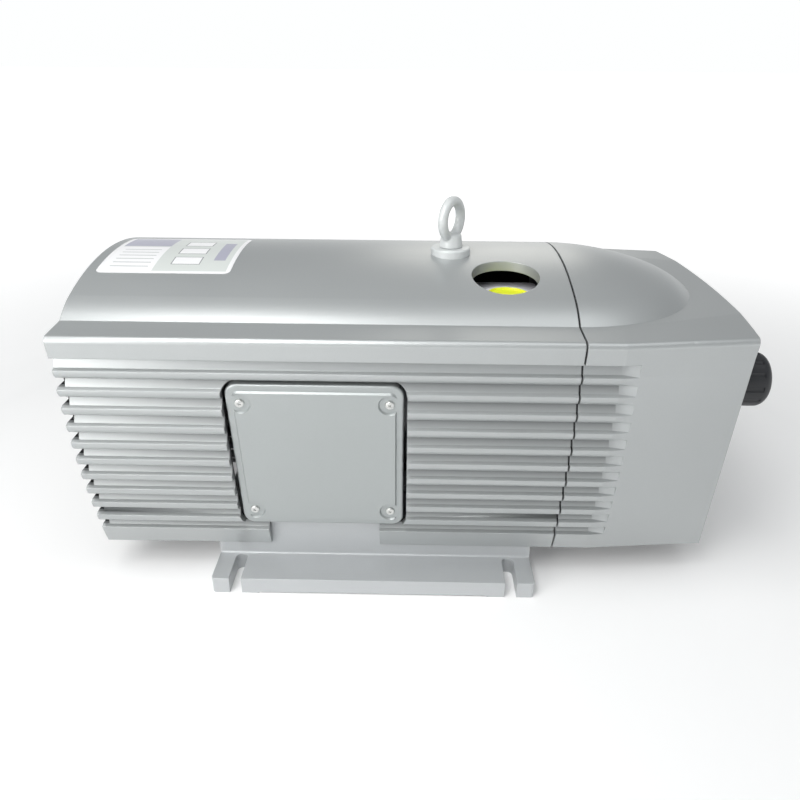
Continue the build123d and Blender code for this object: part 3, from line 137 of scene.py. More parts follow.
class Finish:  # one material and the nodes behind it

    def __init__(self, name, **sockets):
        self.material = bpy.data.materials.new(name)
        self.material.use_nodes = True
        self.tree = self.material.node_tree
        self.shader = self.tree.nodes["Principled BSDF"]
        allMaterials[name] = self.material
        for key, value in sockets.items():
            self.set(key, value)

    def set(self, key, value):
        socketNames = {
            "colour": "Base Color", "metallic": "Metallic", "roughness": "Roughness", "coat": "Coat Weight",
            "coatRoughness": "Coat Roughness", "specular": "Specular IOR Level", "normal": "Normal",
            "subsurface": "Subsurface Weight", "subsurfaceScale": "Subsurface Scale",
            "glow": "Emission Color", "glowStrength": "Emission Strength",
        }
        self.put(self.shader.inputs[socketNames[key]], value)

    def put(self, socket, value):
        if isinstance(value, Wire):
            self.tree.links.new(value.socket, socket)
        elif isinstance(value, tuple) and len(value) == 3 and socket.type == "RGBA":
            socket.default_value = (*value, 1.0)
        else:
            socket.default_value = value

    def node(self, kind, settings=None, values=None, output=0):
        made = self.tree.nodes.new(kind)
        for key, value in (settings or {}).items():
            setattr(made, key, value)
        for key, value in (values or {}).items():
            self.put(made.inputs[key], value)
        return Wire(self, made.outputs[output])

    def coordinates(self):
        return self.node("ShaderNodeTexCoord", output="Object")

    def axes(self):
        split = self.node("ShaderNodeSeparateXYZ", values={0: self.coordinates()})
        outputs = split.socket.node.outputs
        return [Wire(self, outputs[index]) for index in range(3)]

    def noise(self, scale, detail=2.0, roughness=0.5, stretch=None):
        place = self.coordinates()
        if stretch:
            place = self.node("ShaderNodeMapping", values={"Vector": place, "Scale": stretch})
        return self.node("ShaderNodeTexNoise", values={"Vector": place, "Scale": scale, "Detail": detail,
                                                       "Roughness": roughness})

    def waves(self, scale, distortion=0.0, rings=True):
        kind = {"wave_type": "RINGS", "rings_direction": "X"} if rings else {"bands_direction": "X"}
        return self.node("ShaderNodeTexWave", kind, {"Vector": self.coordinates(), "Scale": scale,
                                                     "Distortion": distortion})

    def fade(self, value, low, high, start=0.0, end=1.0):
        return self.node("ShaderNodeMapRange", values={0: value, 1: low, 2: high, 3: start, 4: end})

    def cells(self, scale, output="Distance"):
        return self.node("ShaderNodeTexVoronoi", values={"Vector": self.coordinates(), "Scale": scale},
                         output=output)

    def blend(self, share, first, second):
        values = {mixSockets["share"]: share, mixSockets["first"]: first, mixSockets["second"]: second}
        return self.node("ShaderNodeMix", {"data_type": "RGBA"}, values, mixSockets["result"])

    def bump(self, height, distance, strength, edgeRadius=0.0):
        values = {"Height": height, "Distance": distance, "Strength": strength}
        if edgeRadius:
            values["Normal"] = self.node("ShaderNodeBevel", {"samples": edgeSamples}, {"Radius": edgeRadius})
        return self.node("ShaderNodeBump", values=values)

    def complete(self, colour, roughness, normal):
        self.set("colour", colour)
        self.set("roughness", roughness)
        self.set("normal", normal)
        return self.material


def shade(colour, factor):
    return tuple(channel * factor for channel in colour)


def shades(colour, factors):
    return [shade(colour, factor) for factor in factors]


# Silver paint with fine metal flake, laid over moulded shells or castings
paintSettings = {
    "hood": {
        "colour": (0.415, 0.432, 0.434), "metallic": 0.58, "roughness": 0.38,
        "depth": 0.00005, "edge": 0.0014,
    },
    "casting": {
        "colour": (0.480, 0.495, 0.505), "metallic": 0.45, "roughness": 0.46,
        "depth": 0.00020, "edge": 0.0016,
    },
    "lid": {
        "colour": (0.372, 0.394, 0.394), "metallic": 0.55, "roughness": 0.38,
        "depth": 0.00004, "edge": 0.0008,
    },
}
# What the silver paints share. Scales are per metre, depths in metres, and tones are factors of the colour
paintGrain = {
    "coat": 0.18, "coatRoughness": 0.34, "cloudScale": 5.0, "cloudDetail": 3.0, "cloudTones": (0.95, 1.05),
    "flakeScale": 2600.0, "flakeDetail": 1.0, "flakeFrom": 0.35, "flakeTo": 0.65, "flakeShare": 0.35,
    "flakeTone": 1.22, "grainScale": 420.0, "peelScale": 90.0, "grainSpread": 0.10, "cloudSpread": 0.08,
    "grooveShadeTone": 0.12, "foamRoughness": 0.4, "grainHeight": 0.25, "strength": 0.6,
}
# Painted shade darkens the groove bottoms of the sides, and the hood's inner faces carry dark foam
sideSettings = {
    "topHalf": 0.2325, "topHeight": 0.337, "radius": 0.866, "crease": 0.304,
    "grooveFrom": 0.004, "grooveTo": 0.0098, "grooveShade": 0.45,
    "foamDepth": 0.012, "foamLimit": 0.372, "foamColour": (0.012, 0.012, 0.013),
    "crownMiddle": -0.032, "crownInner": 0.4605, "crownHalf": 0.146,
    "hole": (0.173, -0.095), "collarRadius": 0.0456,
}


def sideDepth(finish):  # how far a point lies inside the barrel-curved side
    values = sideSettings
    _, y, z = finish.axes()
    drop = values["topHeight"] - z
    return (values["radius"] ** 2 - drop * drop).root() + (values["topHalf"] - values["radius"]) - abs(y)


# painted shade: the deeper a point lies in a groove of the sides, the darker its paint
def grooveShare(finish):
    values = sideSettings
    x, _, z = finish.axes()
    depth = sideDepth(finish)
    shadow = finish.fade(depth, values["grooveFrom"], values["grooveTo"], end=values["grooveShade"])
    return shadow * (z < values["topHeight"]) * (x < values["crease"])


def foamShare(finish):
    values = sideSettings
    x, y, z = finish.axes()
    atSide = (sideDepth(finish) > values["foamDepth"]) * (z < values["foamLimit"])
    rise = z - values["crownMiddle"]
    atRoof = (y * y + rise * rise < values["crownInner"] ** 2) * (abs(y) < values["crownHalf"])
    holeX, holeY = values["hole"]
    awayX = x - holeX
    awayY = y - holeY
    outsideCollar = awayX * awayX + awayY * awayY > values["collarRadius"] ** 2
    oneOrBoth = atSide + atRoof > 0.5
    return oneOrBoth * outsideCollar


def silverPaint(name, style, shadeGrooves=False, foam=False):
    values = {**paintGrain, **paintSettings[style]}
    finish = Finish(name, coat=values["coat"], coatRoughness=values["coatRoughness"])
    cloud = finish.noise(values["cloudScale"], values["cloudDetail"])
    flake = finish.noise(values["flakeScale"], values["flakeDetail"])
    grain = finish.noise(values["grainScale"])
    peel = finish.noise(values["peelScale"])
    paint = values["colour"]
    tone = finish.blend(cloud, *shades(paint, values["cloudTones"]))
    speckle = finish.fade(flake, values["flakeFrom"], values["flakeTo"])
    colour = finish.blend(speckle * values["flakeShare"], tone, shade(paint, values["flakeTone"]))
    metallic = values["metallic"]
    roughness = values["roughness"] + grain.spread(values["grainSpread"])
    roughness = roughness + cloud.spread(values["cloudSpread"])
    # painted shade deep in each groove of the sides
    if shadeGrooves:
        colour = finish.blend(grooveShare(finish), colour, shade(paint, values["grooveShadeTone"]))
    if foam:
        share = foamShare(finish)
        colour = finish.blend(share, colour, sideSettings["foamColour"])
        metallic = (1.0 - share) * metallic
        roughness = roughness + share * values["foamRoughness"]
        finish.set("coat", (1.0 - share) * values["coat"])
    finish.set("metallic", metallic)
    relief = peel + grain * values["grainHeight"]
    return finish.complete(colour, roughness,
                           finish.bump(relief, values["depth"], values["strength"], values["edge"]))


# Castings: a skin with small pits and darker patches
castSettings = {
    "skinScale": 260.0, "skinDetail": 3.0, "pitScale": 480.0, "pitHeight": 0.4, "patchScale": 38.0,
    "patchDetail": 4.0, "patchFrom": 0.48, "patchTo": 0.72, "patchShare": 0.55, "patchTone": 0.72,
    "spread": 0.22, "strength": 0.7,
}


def castMetal(name, colour, metallic, roughness, pitDepth):
    values = castSettings
    finish = Finish(name, metallic=metallic)
    skin = finish.noise(values["skinScale"], values["skinDetail"])
    pits = finish.cells(values["pitScale"])
    patches = finish.noise(values["patchScale"], values["patchDetail"])
    share = finish.fade(patches, values["patchFrom"], values["patchTo"], end=values["patchShare"])
    return finish.complete(finish.blend(share, colour, shade(colour, values["patchTone"])),
                           roughness + skin.spread(values["spread"]),
                           finish.bump(skin + pits * values["pitHeight"], pitDepth, values["strength"]))


# Turned parts: fine lines around them and faint stains
turnedSettings = {
    "lineScale": 900.0, "lineStretch": (6.0, 0.35, 0.35), "stainScale": 30.0, "stainDetail": 3.0,
    "stainTones": (0.86, 1.06), "spread": 0.18, "depth": 0.00002, "strength": 0.5,
}


def turnedMetal(name, colour, roughness):
    values = turnedSettings
    finish = Finish(name, metallic=1.0)
    lines = finish.noise(values["lineScale"], stretch=values["lineStretch"])
    stain = finish.noise(values["stainScale"], values["stainDetail"])
    return finish.complete(finish.blend(stain, *shades(colour, values["stainTones"])),
                           roughness + lines.spread(values["spread"]),
                           finish.bump(lines, values["depth"], values["strength"]))


# Milled face of the port's plate, brighter than the castings around it
milledSettings = {
    "metallic": 0.25, "lineScale": 700.0, "lineStretch": (0.3, 7.0, 1.0), "stainScale": 24.0,
    "stainDetail": 3.0, "dark": (0.78, 0.78, 0.83), "light": (0.90, 0.90, 0.94), "roughness": 0.36,
    "spread": 0.2, "depth": 0.00003, "strength": 0.5,
}


def milledPlate(name):
    values = milledSettings
    finish = Finish(name, metallic=values["metallic"])
    lines = finish.noise(values["lineScale"], stretch=values["lineStretch"])
    stain = finish.noise(values["stainScale"], values["stainDetail"])
    return finish.complete(finish.blend(stain, values["dark"], values["light"]),
                           values["roughness"] + lines.spread(values["spread"]),
                           finish.bump(lines, values["depth"], values["strength"]))


# Zinc on bolts and screws, each spangle with its own grey
zincSettings = {
    "spangleScale": 700.0, "dark": (0.55, 0.56, 0.56), "light": (0.78, 0.78, 0.75), "roughness": 0.26,
    "rise": 0.16, "grainScale": 500.0, "depth": 0.00002, "strength": 0.4,
}


def zincPlate(name):
    values = zincSettings
    finish = Finish(name, metallic=1.0)
    grey = finish.node("ShaderNodeRGBToBW", values={0: finish.cells(values["spangleScale"], "Color")})
    grain = finish.noise(values["grainScale"])
    return finish.complete(finish.blend(grey, values["dark"], values["light"]),
                           values["roughness"] + grey * values["rise"],
                           finish.bump(grain, values["depth"], values["strength"]))


# Moulded plastics: an even grain under a faint cloud
plasticSettings = {
    "specular": 0.45, "grainScale": 1300.0, "cloudScale": 20.0, "cloudDetail": 3.0,
    "cloudTones": (0.88, 1.12), "spread": 0.2, "strength": 0.7,
}


def mouldedPlastic(name, colour, roughness, grainDepth):
    values = plasticSettings
    finish = Finish(name, specular=values["specular"])
    grain = finish.noise(values["grainScale"])
    cloud = finish.noise(values["cloudScale"], values["cloudDetail"])
    return finish.complete(finish.blend(cloud, *shades(colour, values["cloudTones"])),
                           roughness + grain.spread(values["spread"]),
                           finish.bump(grain, grainDepth, values["strength"]))


# Soft yellow plastic of the port's plug, a little scuffed
capSettings = {
    "specular": 0.5, "subsurface": 0.12, "subsurfaceScale": 0.004, "cloudScale": 40.0, "cloudDetail": 3.0,
    "scuffScale": 260.0, "scuffDetail": 4.0, "scuffRoughness": 0.7, "dark": (0.76, 0.82, 0.02),
    "light": (0.86, 0.92, 0.05), "roughness": 0.34, "spread": 0.25, "depth": 0.00004, "strength": 0.5,
}


def yellowCap(name):
    values = capSettings
    finish = Finish(name, specular=values["specular"], subsurface=values["subsurface"],
                    subsurfaceScale=values["subsurfaceScale"])
    cloud = finish.noise(values["cloudScale"], values["cloudDetail"])
    scuff = finish.noise(values["scuffScale"], values["scuffDetail"], values["scuffRoughness"])
    return finish.complete(finish.blend(cloud, values["dark"], values["light"]),
                           values["roughness"] + scuff.spread(values["spread"]),
                           finish.bump(scuff, values["depth"], values["strength"]))


# Pale paint over the eye's rough casting
eyePaintSettings = {
    "metallic": 0.15, "coat": 0.15, "coatRoughness": 0.3, "skinScale": 170.0, "skinDetail": 3.0,
    "cloudScale": 28.0, "cloudDetail": 3.0, "dark": (0.50, 0.52, 0.52), "light": (0.62, 0.64, 0.64),
    "roughness": 0.44, "spread": 0.2, "depth": 0.00035, "strength": 0.6,
}


def eyePaint(name):
    values = eyePaintSettings
    finish = Finish(name, metallic=values["metallic"], coat=values["coat"],
                    coatRoughness=values["coatRoughness"])
    skin = finish.noise(values["skinScale"], values["skinDetail"])
    cloud = finish.noise(values["cloudScale"], values["cloudDetail"])
    return finish.complete(finish.blend(cloud, values["dark"], values["light"]),
                           values["roughness"] + skin.spread(values["spread"]),
                           finish.bump(skin, values["depth"], values["strength"]))


# Rubber of seals, gasket and coupling
rubberSettings = {
    "specular": 0.3, "grainScale": 800.0, "cloudScale": 30.0, "dark": (0.012, 0.012, 0.013),
    "light": (0.030, 0.030, 0.032), "roughness": 0.62, "spread": 0.2, "depth": 0.00005, "strength": 0.6,
}


def softRubber(name):
    values = rubberSettings
    finish = Finish(name, specular=values["specular"])
    grain = finish.noise(values["grainScale"])
    return finish.complete(finish.blend(finish.noise(values["cloudScale"]), values["dark"], values["light"]),
                           values["roughness"] + grain.spread(values["spread"]),
                           finish.bump(grain, values["depth"], values["strength"]))


# Varnished copper, with strands that run around the motor's axis
windingSettings = {
    "metallic": 0.85, "coat": 0.4, "coatRoughness": 0.15, "strandScale": 120.0, "distortion": 1.5,
    "dark": (0.35, 0.12, 0.04), "light": (0.72, 0.32, 0.13), "roughness": 0.32, "rise": 0.15, "depth": 0.0006,
    "strength": 0.8,
}


def copperWinding(name):
    values = windingSettings
    finish = Finish(name, metallic=values["metallic"], coat=values["coat"],
                    coatRoughness=values["coatRoughness"])
    strands = finish.waves(values["strandScale"], values["distortion"])
    return finish.complete(finish.blend(strands, values["dark"], values["light"]),
                           values["roughness"] + strands * values["rise"],
                           finish.bump(strands, values["depth"], values["strength"]))


# Sheets of the stator's core, stacked along the motor's axis
sheetSettings = {
    "metallic": 0.9, "sheetScale": 320.0, "dark": (0.16, 0.17, 0.19), "light": (0.33, 0.34, 0.36),
    "roughness": 0.42, "rise": 0.12, "depth": 0.0001, "strength": 0.7,
}


def stackedSheets(name):
    values = sheetSettings
    finish = Finish(name, metallic=values["metallic"])
    sheets = finish.waves(values["sheetScale"], rings=False)
    return finish.complete(finish.blend(sheets, values["dark"], values["light"]),
                           values["roughness"] + sheets * values["rise"],
                           finish.bump(sheets, values["depth"], values["strength"]))


# Fleece of the exhaust filter, with folds and loose fibres
fleeceSettings = {
    "specular": 0.2, "foldScale": 60.0, "fibreScale": 900.0, "fibreDetail": 3.0, "fibreHeight": 0.3,
    "dark": (0.62, 0.59, 0.50), "light": (0.86, 0.83, 0.74), "roughness": 0.85, "spread": 0.1,
    "depth": 0.0008, "strength": 0.8,
}


def filterFleece(name):
    values = fleeceSettings
    finish = Finish(name, specular=values["specular"])
    folds = finish.waves(values["foldScale"])
    fibre = finish.noise(values["fibreScale"], values["fibreDetail"])
    relief = folds + fibre * values["fibreHeight"]
    return finish.complete(finish.blend(folds, values["dark"], values["light"]),
                           values["roughness"] + fibre.spread(values["spread"]),
                           finish.bump(relief, values["depth"], values["strength"]))


# Which finish each node of the frame carries
finishOfNode = {
    "hoodPaint": (silverPaint, {"style": "hood", "shadeGrooves": True, "foam": True}, ["hood"]),
    "coverPaint": (silverPaint, {"style": "hood", "shadeGrooves": True}, ["end_cover"]),
    "footPaint": (silverPaint, {"style": "casting"}, ["base_foot"]),
    "boxPaint": (silverPaint, {"style": "lid"}, ["terminal_lid", "terminal_box"]),
    "eyePaint": (eyePaint, {}, ["lifting_eye", "lifting_washer"]),
    "castIron": (
        castMetal, {"colour": (0.20, 0.21, 0.22), "metallic": 0.55, "roughness": 0.55, "pitDepth": 0.0004},
        ["pump_cylinder", "rear_side_cover", "front_side_cover", "pump_rotor"]),
    "castAluminium": (
        castMetal, {"colour": (0.56, 0.57, 0.58), "metallic": 0.85, "roughness": 0.42, "pitDepth": 0.0002},
        ["motor_housing", "rear_shield", "front_flange", "lantern", "filter_housing", "filter_cap",
         "regulator_body", "cage_rotor"]),
    "milledPlate": (milledPlate, {}, ["suction_riser"]),
    "zincSteel": (
        zincPlate, {}, ["terminal_screws", "grille_screws", "foot_bolts", "cover_bolts", "lifting_post"]),
    "turnedSteel": (
        turnedMetal, {"colour": (0.58, 0.58, 0.60), "roughness": 0.26},
        ["motor_shaft", "pump_shaft", "motor_bearings", "pump_bearings", "regulator_spindle",
         "regulator_plate", "coupling_motor_half", "coupling_pump_half"]),
    "springWire": (
        turnedMetal, {"colour": (0.50, 0.50, 0.52), "roughness": 0.32}, ["valve_spring", "regulator_spring"]),
    "statorSheets": (stackedSheets, {}, ["stator_core"]),
    "copperWire": (copperWinding, {}, ["stator_windings"]),
    "carbonVane": (
        mouldedPlastic, {"colour": (0.030, 0.030, 0.033), "roughness": 0.48, "grainDepth": 0.00005},
        ["vanes"]),
    "greyPlastic": (
        mouldedPlastic, {"colour": (0.075, 0.08, 0.085), "roughness": 0.50, "grainDepth": 0.00008},
        ["intake_grille", "fan_cowl", "cowl_guard", "fan_shroud", "cable_gland"]),
    "fanPlastic": (
        mouldedPlastic, {"colour": (0.035, 0.036, 0.040), "roughness": 0.46, "grainDepth": 0.00006},
        ["motor_fan", "cooling_fan"]),
    "brownBoard": (
        mouldedPlastic, {"colour": (0.16, 0.05, 0.025), "roughness": 0.38, "grainDepth": 0.00004},
        ["terminal_board"]),
    "sealRubber": (softRubber, {}, ["seam_seal", "terminal_gasket", "shaft_seals", "coupling_spider"]),
    "valvePlastic": (
        mouldedPlastic, {"colour": (0.10, 0.11, 0.12), "roughness": 0.40, "grainDepth": 0.00004},
        ["valve_disc", "valve_spider", "regulator_poppet"]),
    "filterFleece": (filterFleece, {}, ["exhaust_filter"]),
    "knobPlastic": (
        mouldedPlastic, {"colour": (0.020, 0.021, 0.024), "roughness": 0.44, "grainDepth": 0.00010},
        ["regulator_knob"]),
    "capYellow": (yellowCap, {}, ["suction_cap"]),
}


def dressNodes():
    for name, (maker, values, nodeNames) in finishOfNode.items():
        material = maker(name, **values)
        for nodeName in nodeNames:
            mesh = cadNodes[nodeName].data
            mesh.materials.clear()
            mesh.materials.append(material)
    dressed = {nodeName for _, _, nodeNames in finishOfNode.values() for nodeName in nodeNames}
    print("finishes:", len(allMaterials), "made, bare nodes:", sorted(set(cadNodes) - dressed))


def selectOnly(*objects):
    bpy.ops.object.select_all(action="DESELECT")
    for item in objects:
        item.select_set(True)
    bpy.context.view_layer.objects.active = objects[0]


# Faces that meet at less than this many degrees are shaded as one
smoothAngle = 32.0
# A face with this much of its normal upright is level, and ends this close to a height lie on it
levelNormal = 0.99
heightSlack = 0.0001


def smoothByAngle(degrees):
    bpy.ops.object.shade_smooth_by_angle(angle=radians(degrees))


def smoothNodes():
    for node in cadNodes.values():
        selectOnly(node)
        smoothByAngle(smoothAngle)


def added(primitive, **values):
    bpy.ops.object.select_all(action="DESELECT")
    primitive(**values)
    return bpy.context.active_object


def settle(piece):  # its place goes into its mesh
    selectOnly(piece)
    bpy.ops.object.transform_apply(location=True, rotation=True, scale=True)


def facesUp(normal):
    return normal.z > levelNormal


def facesDown(normal):
    return normal.z < -levelNormal


def clearPicks(piece, kind):
    selectOnly(piece)
    bpy.ops.object.mode_set(mode="EDIT")
    bpy.ops.mesh.select_mode(type=kind)
    bpy.ops.mesh.select_all(action="DESELECT")
    bpy.ops.object.mode_set(mode="OBJECT")


def pickFaces(piece, test):  # edit mode, with the faces whose normals pass the test
    clearPicks(piece, "FACE")
    for face in piece.data.polygons:
        face.select = test(face.normal)
    bpy.ops.object.mode_set(mode="EDIT")


def pickEdges(piece, test):  # the same for edges whose two ends pass
    clearPicks(piece, "EDGE")
    points = piece.data.vertices
    for edge in piece.data.edges:
        edge.select = all(test(points[end].co) for end in edge.vertices)
    bpy.ops.object.mode_set(mode="EDIT")


def leaveEdit():
    bpy.ops.object.mode_set(mode="OBJECT")


def finishWith(piece, kind, **values):
    modifier = piece.modifiers.new(kind, kind)
    for key, value in values.items():
        setattr(modifier, key, value)
    selectOnly(piece)
    bpy.ops.object.modifier_apply(modifier=modifier.name)


def fit(piece, name, slot, finishName, *replaced, body="casing"):
    piece.name = name
    piece.data.name = name
    piece.data.materials.clear()
    piece.data.materials.append(allMaterials[finishName])
    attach(piece, body)
    if replaced:
        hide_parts(*replaced)


# Lifting eye: ring, tapered barrel and shank cast in one
eyeSettings = {
    "place": (0.103, -0.018), "turn": 58.0, "ringHeight": 0.4805, "ringRadius": 0.0245, "wireRadius": 0.007,
    "ringSegments": 88, "wireSegments": 32, "barrelSegments": 72, "barrelFoot": 0.442, "barrelTop": 0.459,
    "barrelRadius": 0.0165, "barrelTaper": 7.0, "footRounding": 0.0016, "roundingSegments": 4,
    "saddleRadius": 0.0085, "saddleRise": 0.0025, "shankRadius": 0.008, "shankEnd": 0.402,
    "shankChamfer": 0.0015, "meshSize": 0.0006, "smoothing": 7, "smoothShare": 0.5,
}


def makeLiftingEye():
    values = eyeSettings
    x, y = values["place"]
    foot = values["barrelFoot"]
    shankEnd = values["shankEnd"]
    height = values["barrelTop"] - foot
    topRadius = values["barrelRadius"] - height * tan(radians(values["barrelTaper"]))
    ring = added(bpy.ops.mesh.primitive_torus_add, major_radius=values["ringRadius"],
                 minor_radius=values["wireRadius"], major_segments=values["ringSegments"],
                 minor_segments=values["wireSegments"], location=(x, y, values["ringHeight"]),
                 rotation=(radians(90), 0, radians(values["turn"])))
    barrel = added(bpy.ops.mesh.primitive_cone_add, vertices=values["barrelSegments"],
                   radius1=values["barrelRadius"], radius2=topRadius, depth=height,
                   location=(x, y, foot + height / 2))
    settle(barrel)
    pickFaces(barrel, facesUp)
    bpy.ops.mesh.inset(thickness=topRadius - values["saddleRadius"])
    bpy.ops.transform.translate(value=(0, 0, values["saddleRise"]))
    leaveEdit()
    pickEdges(barrel, lambda place: place.z < foot + heightSlack)
    bpy.ops.mesh.bevel(offset=values["footRounding"], segments=values["roundingSegments"])
    leaveEdit()
    pickFaces(barrel, facesDown)
    bpy.ops.mesh.inset(thickness=values["barrelRadius"] - values["footRounding"] - values["shankRadius"])
    bpy.ops.mesh.extrude_region_move(TRANSFORM_OT_translate={"value": (0, 0, shankEnd - foot)})
    leaveEdit()
    pickEdges(barrel, lambda place: place.z < shankEnd + heightSlack)
    bpy.ops.mesh.bevel(offset=values["shankChamfer"], segments=1)
    leaveEdit()
    selectOnly(barrel, ring)
    bpy.ops.object.join()
    finishWith(barrel, "REMESH", mode="VOXEL", voxel_size=values["meshSize"])
    finishWith(barrel, "SMOOTH", factor=values["smoothShare"], iterations=values["smoothing"])
    bpy.ops.object.shade_smooth()
    fit(barrel, "castLiftingEye", "lifting_steel", "eyePaint", "lifting_eye")
    print("lifting eye:", len(barrel.data.polygons), "faces")


# Lid screws: domed pan heads with a cross recess, one made and four placed
screwSettings = {
    "lidMiddle": (-0.0706, -0.21165, 0.2051), "lean": 8.89, "across": 0.094, "along": 0.090, "turnStep": 37,
    "headRadius": 0.006, "headHeight": 0.003, "headSegments": 40, "headDome": 0.0019, "domeSegments": 5,
    "shankRadius": 0.0025, "shankLength": 0.028, "shankTaper": 0.7, "recessLength": 0.0066,
    "recessWidth": 0.0013, "recessDepth": 0.0017, "recessTaper": 0.55, "smoothAngle": 35,
}


def taperPicked(share):
    bpy.ops.transform.resize(value=(share, share, 1))


def cutRecess(screw, length, width):
    values = screwSettings
    blade = added(bpy.ops.mesh.primitive_cube_add, size=1, location=(0, 0, values["headHeight"]),
                  scale=(length, width, 2 * values["recessDepth"]))
    settle(blade)
    pickFaces(blade, facesDown)
    taperPicked(values["recessTaper"])
    leaveEdit()
    finishWith(screw, "BOOLEAN", operation="DIFFERENCE", solver="EXACT", object=blade)
    bpy.data.objects.remove(blade)


def makeScrew():
    values = screwSettings
    radius = values["headRadius"]
    height = values["headHeight"]
    screw = added(bpy.ops.mesh.primitive_cylinder_add, vertices=values["headSegments"], radius=radius,
                  depth=height, location=(0, 0, height / 2))
    settle(screw)
    pickEdges(screw, lambda place: place.z > height - heightSlack)
    bpy.ops.mesh.bevel(offset=values["headDome"], segments=values["domeSegments"])
    leaveEdit()
    pickFaces(screw, facesDown)
    bpy.ops.mesh.inset(thickness=radius - values["shankRadius"])
    bpy.ops.mesh.extrude_region_move(TRANSFORM_OT_translate={"value": (0, 0, -values["shankLength"])})
    taperPicked(values["shankTaper"])
    leaveEdit()
    cutRecess(screw, values["recessLength"], values["recessWidth"])
    cutRecess(screw, values["recessWidth"], values["recessLength"])
    return screw


def makeLidScrews():
    values = screwSettings
    screw = makeScrew()
    lean = radians(values["lean"])
    along = Vector((0, -sin(lean), cos(lean)))
    outward = Vector((0, -cos(lean), -sin(lean)))
    upright = Matrix((Vector((1, 0, 0)), along, outward)).transposed()
    places = [(sideways, upward) for sideways in (-1, 1) for upward in (-1, 1)]
    for number, (sideways, upward) in enumerate(places, start=1):
        place = Vector(values["lidMiddle"]) + along * upward * values["along"]
        place.x += sideways * values["across"]
        turned = upright @ Matrix.Rotation(radians(values["turnStep"] * number), 3, "Z")
        mesh = screw.data.copy()
        mesh.transform(Matrix.Translation(place) @ turned.to_4x4())
        placed = bpy.data.objects.new("lidScrew", mesh)
        bpy.context.scene.collection.objects.link(placed)
        selectOnly(placed)
        smoothByAngle(values["smoothAngle"])
        fit(placed, "lidScrew" + str(number), "zinc_steel", "zincSteel", "terminal_screws")
    bpy.data.objects.remove(screw)
    print("lid screws:", len(places))


# Plastic plug in the suction port, dished on top with a raised rim and a pull bar
plugSettings = {
    "place": (0.178, -0.095), "top": 0.3992, "foot": 0.384, "radius": 0.0279, "footRadius": 0.0270,
    "segments": 96, "rimWidth": 0.0028, "dishDepth": 0.0022, "rounding": 0.0007, "roundingSegments": 3,
    "barLength": 0.040, "barWidth": 0.004, "barHeightInDishes": 1.6, "smoothAngle": 35,
}


def makePortPlug():
    values = plugSettings
    x, y = values["place"]
    top = values["top"]
    dish = top - values["dishDepth"]
    height = top - values["foot"]
    plug = added(bpy.ops.mesh.primitive_cone_add, vertices=values["segments"], radius1=values["footRadius"],
                 radius2=values["radius"], depth=height, location=(x, y, values["foot"] + height / 2))
    settle(plug)
    pickFaces(plug, facesUp)
    bpy.ops.mesh.inset(thickness=values["rimWidth"])
    bpy.ops.mesh.inset(thickness=values["rounding"])
    bpy.ops.transform.translate(value=(0, 0, -values["dishDepth"]))
    leaveEdit()
    pickEdges(plug, lambda place: place.z > top - heightSlack)
    bpy.ops.mesh.bevel(offset=values["rounding"], segments=values["roundingSegments"])
    leaveEdit()
    barHeight = values["barHeightInDishes"] * values["dishDepth"]
    bar = added(bpy.ops.mesh.primitive_cube_add, size=1, location=(x, y, dish),
                scale=(values["barLength"], values["barWidth"], barHeight))
    settle(bar)
    pickEdges(bar, lambda place: place.z > dish)
    bpy.ops.mesh.bevel(offset=values["rounding"], segments=values["roundingSegments"])
    leaveEdit()
    finishWith(plug, "BOOLEAN", operation="UNION", solver="EXACT", object=bar)
    bpy.data.objects.remove(bar)
    selectOnly(plug)
    smoothByAngle(values["smoothAngle"])
    fit(plug, "portPlug", "cap_yellow", "capYellow", "suction_cap", body="port_cap")
    print("port plug:", len(plug.data.polygons), "faces")


# Blank record sticker on the roof, where the photograph shows a label
stickerSettings = {
    "left": -0.374, "right": -0.194, "front": -0.100, "back": 0.060, "corner": 0.008, "cornerSegments": 6,
    "strips": 40, "roofRadius": 0.465, "roofTop": 0.433, "lift": 0.0004, "thickness": 0.0003,
    "smoothAngle": 30,
}
# Its print, measured from the sticker's edges: a column with a band over rows of lines, then tiles and a bar
printSettings = {
    "white": (0.80, 0.80, 0.81), "field": (0.58, 0.61, 0.59), "band": (0.36, 0.36, 0.44),
    "row": (0.40, 0.42, 0.42), "line": (0.22, 0.23, 0.24), "margin": 0.006,
    "columnEnd": 0.074, "bandFoot": 0.060, "listTop": 0.064,
    "rows": 6, "rowFirst": 0.018, "rowStep": 0.0125, "rowFrom": 0.014, "rowTo": 0.066, "rowHeight": 0.0022,
    "tiles": 3, "tileFirst": 0.026, "tileStep": 0.038, "tileFrom": 0.094, "tileTo": 0.134,
    "tileHeight": 0.026, "lineWidth": 0.0015, "barFrom": 0.030, "barTo": 0.014, "barInset": 0.040,
}
# The film that the print is on
filmSettings = {
    "coat": 0.3, "coatRoughness": 0.2, "wearScale": 160.0, "wearDetail": 4.0, "wornTone": 0.95,
    "roughness": 0.36, "spread": 0.2, "rippleScale": 60.0, "depth": 0.0001, "strength": 0.4,
}


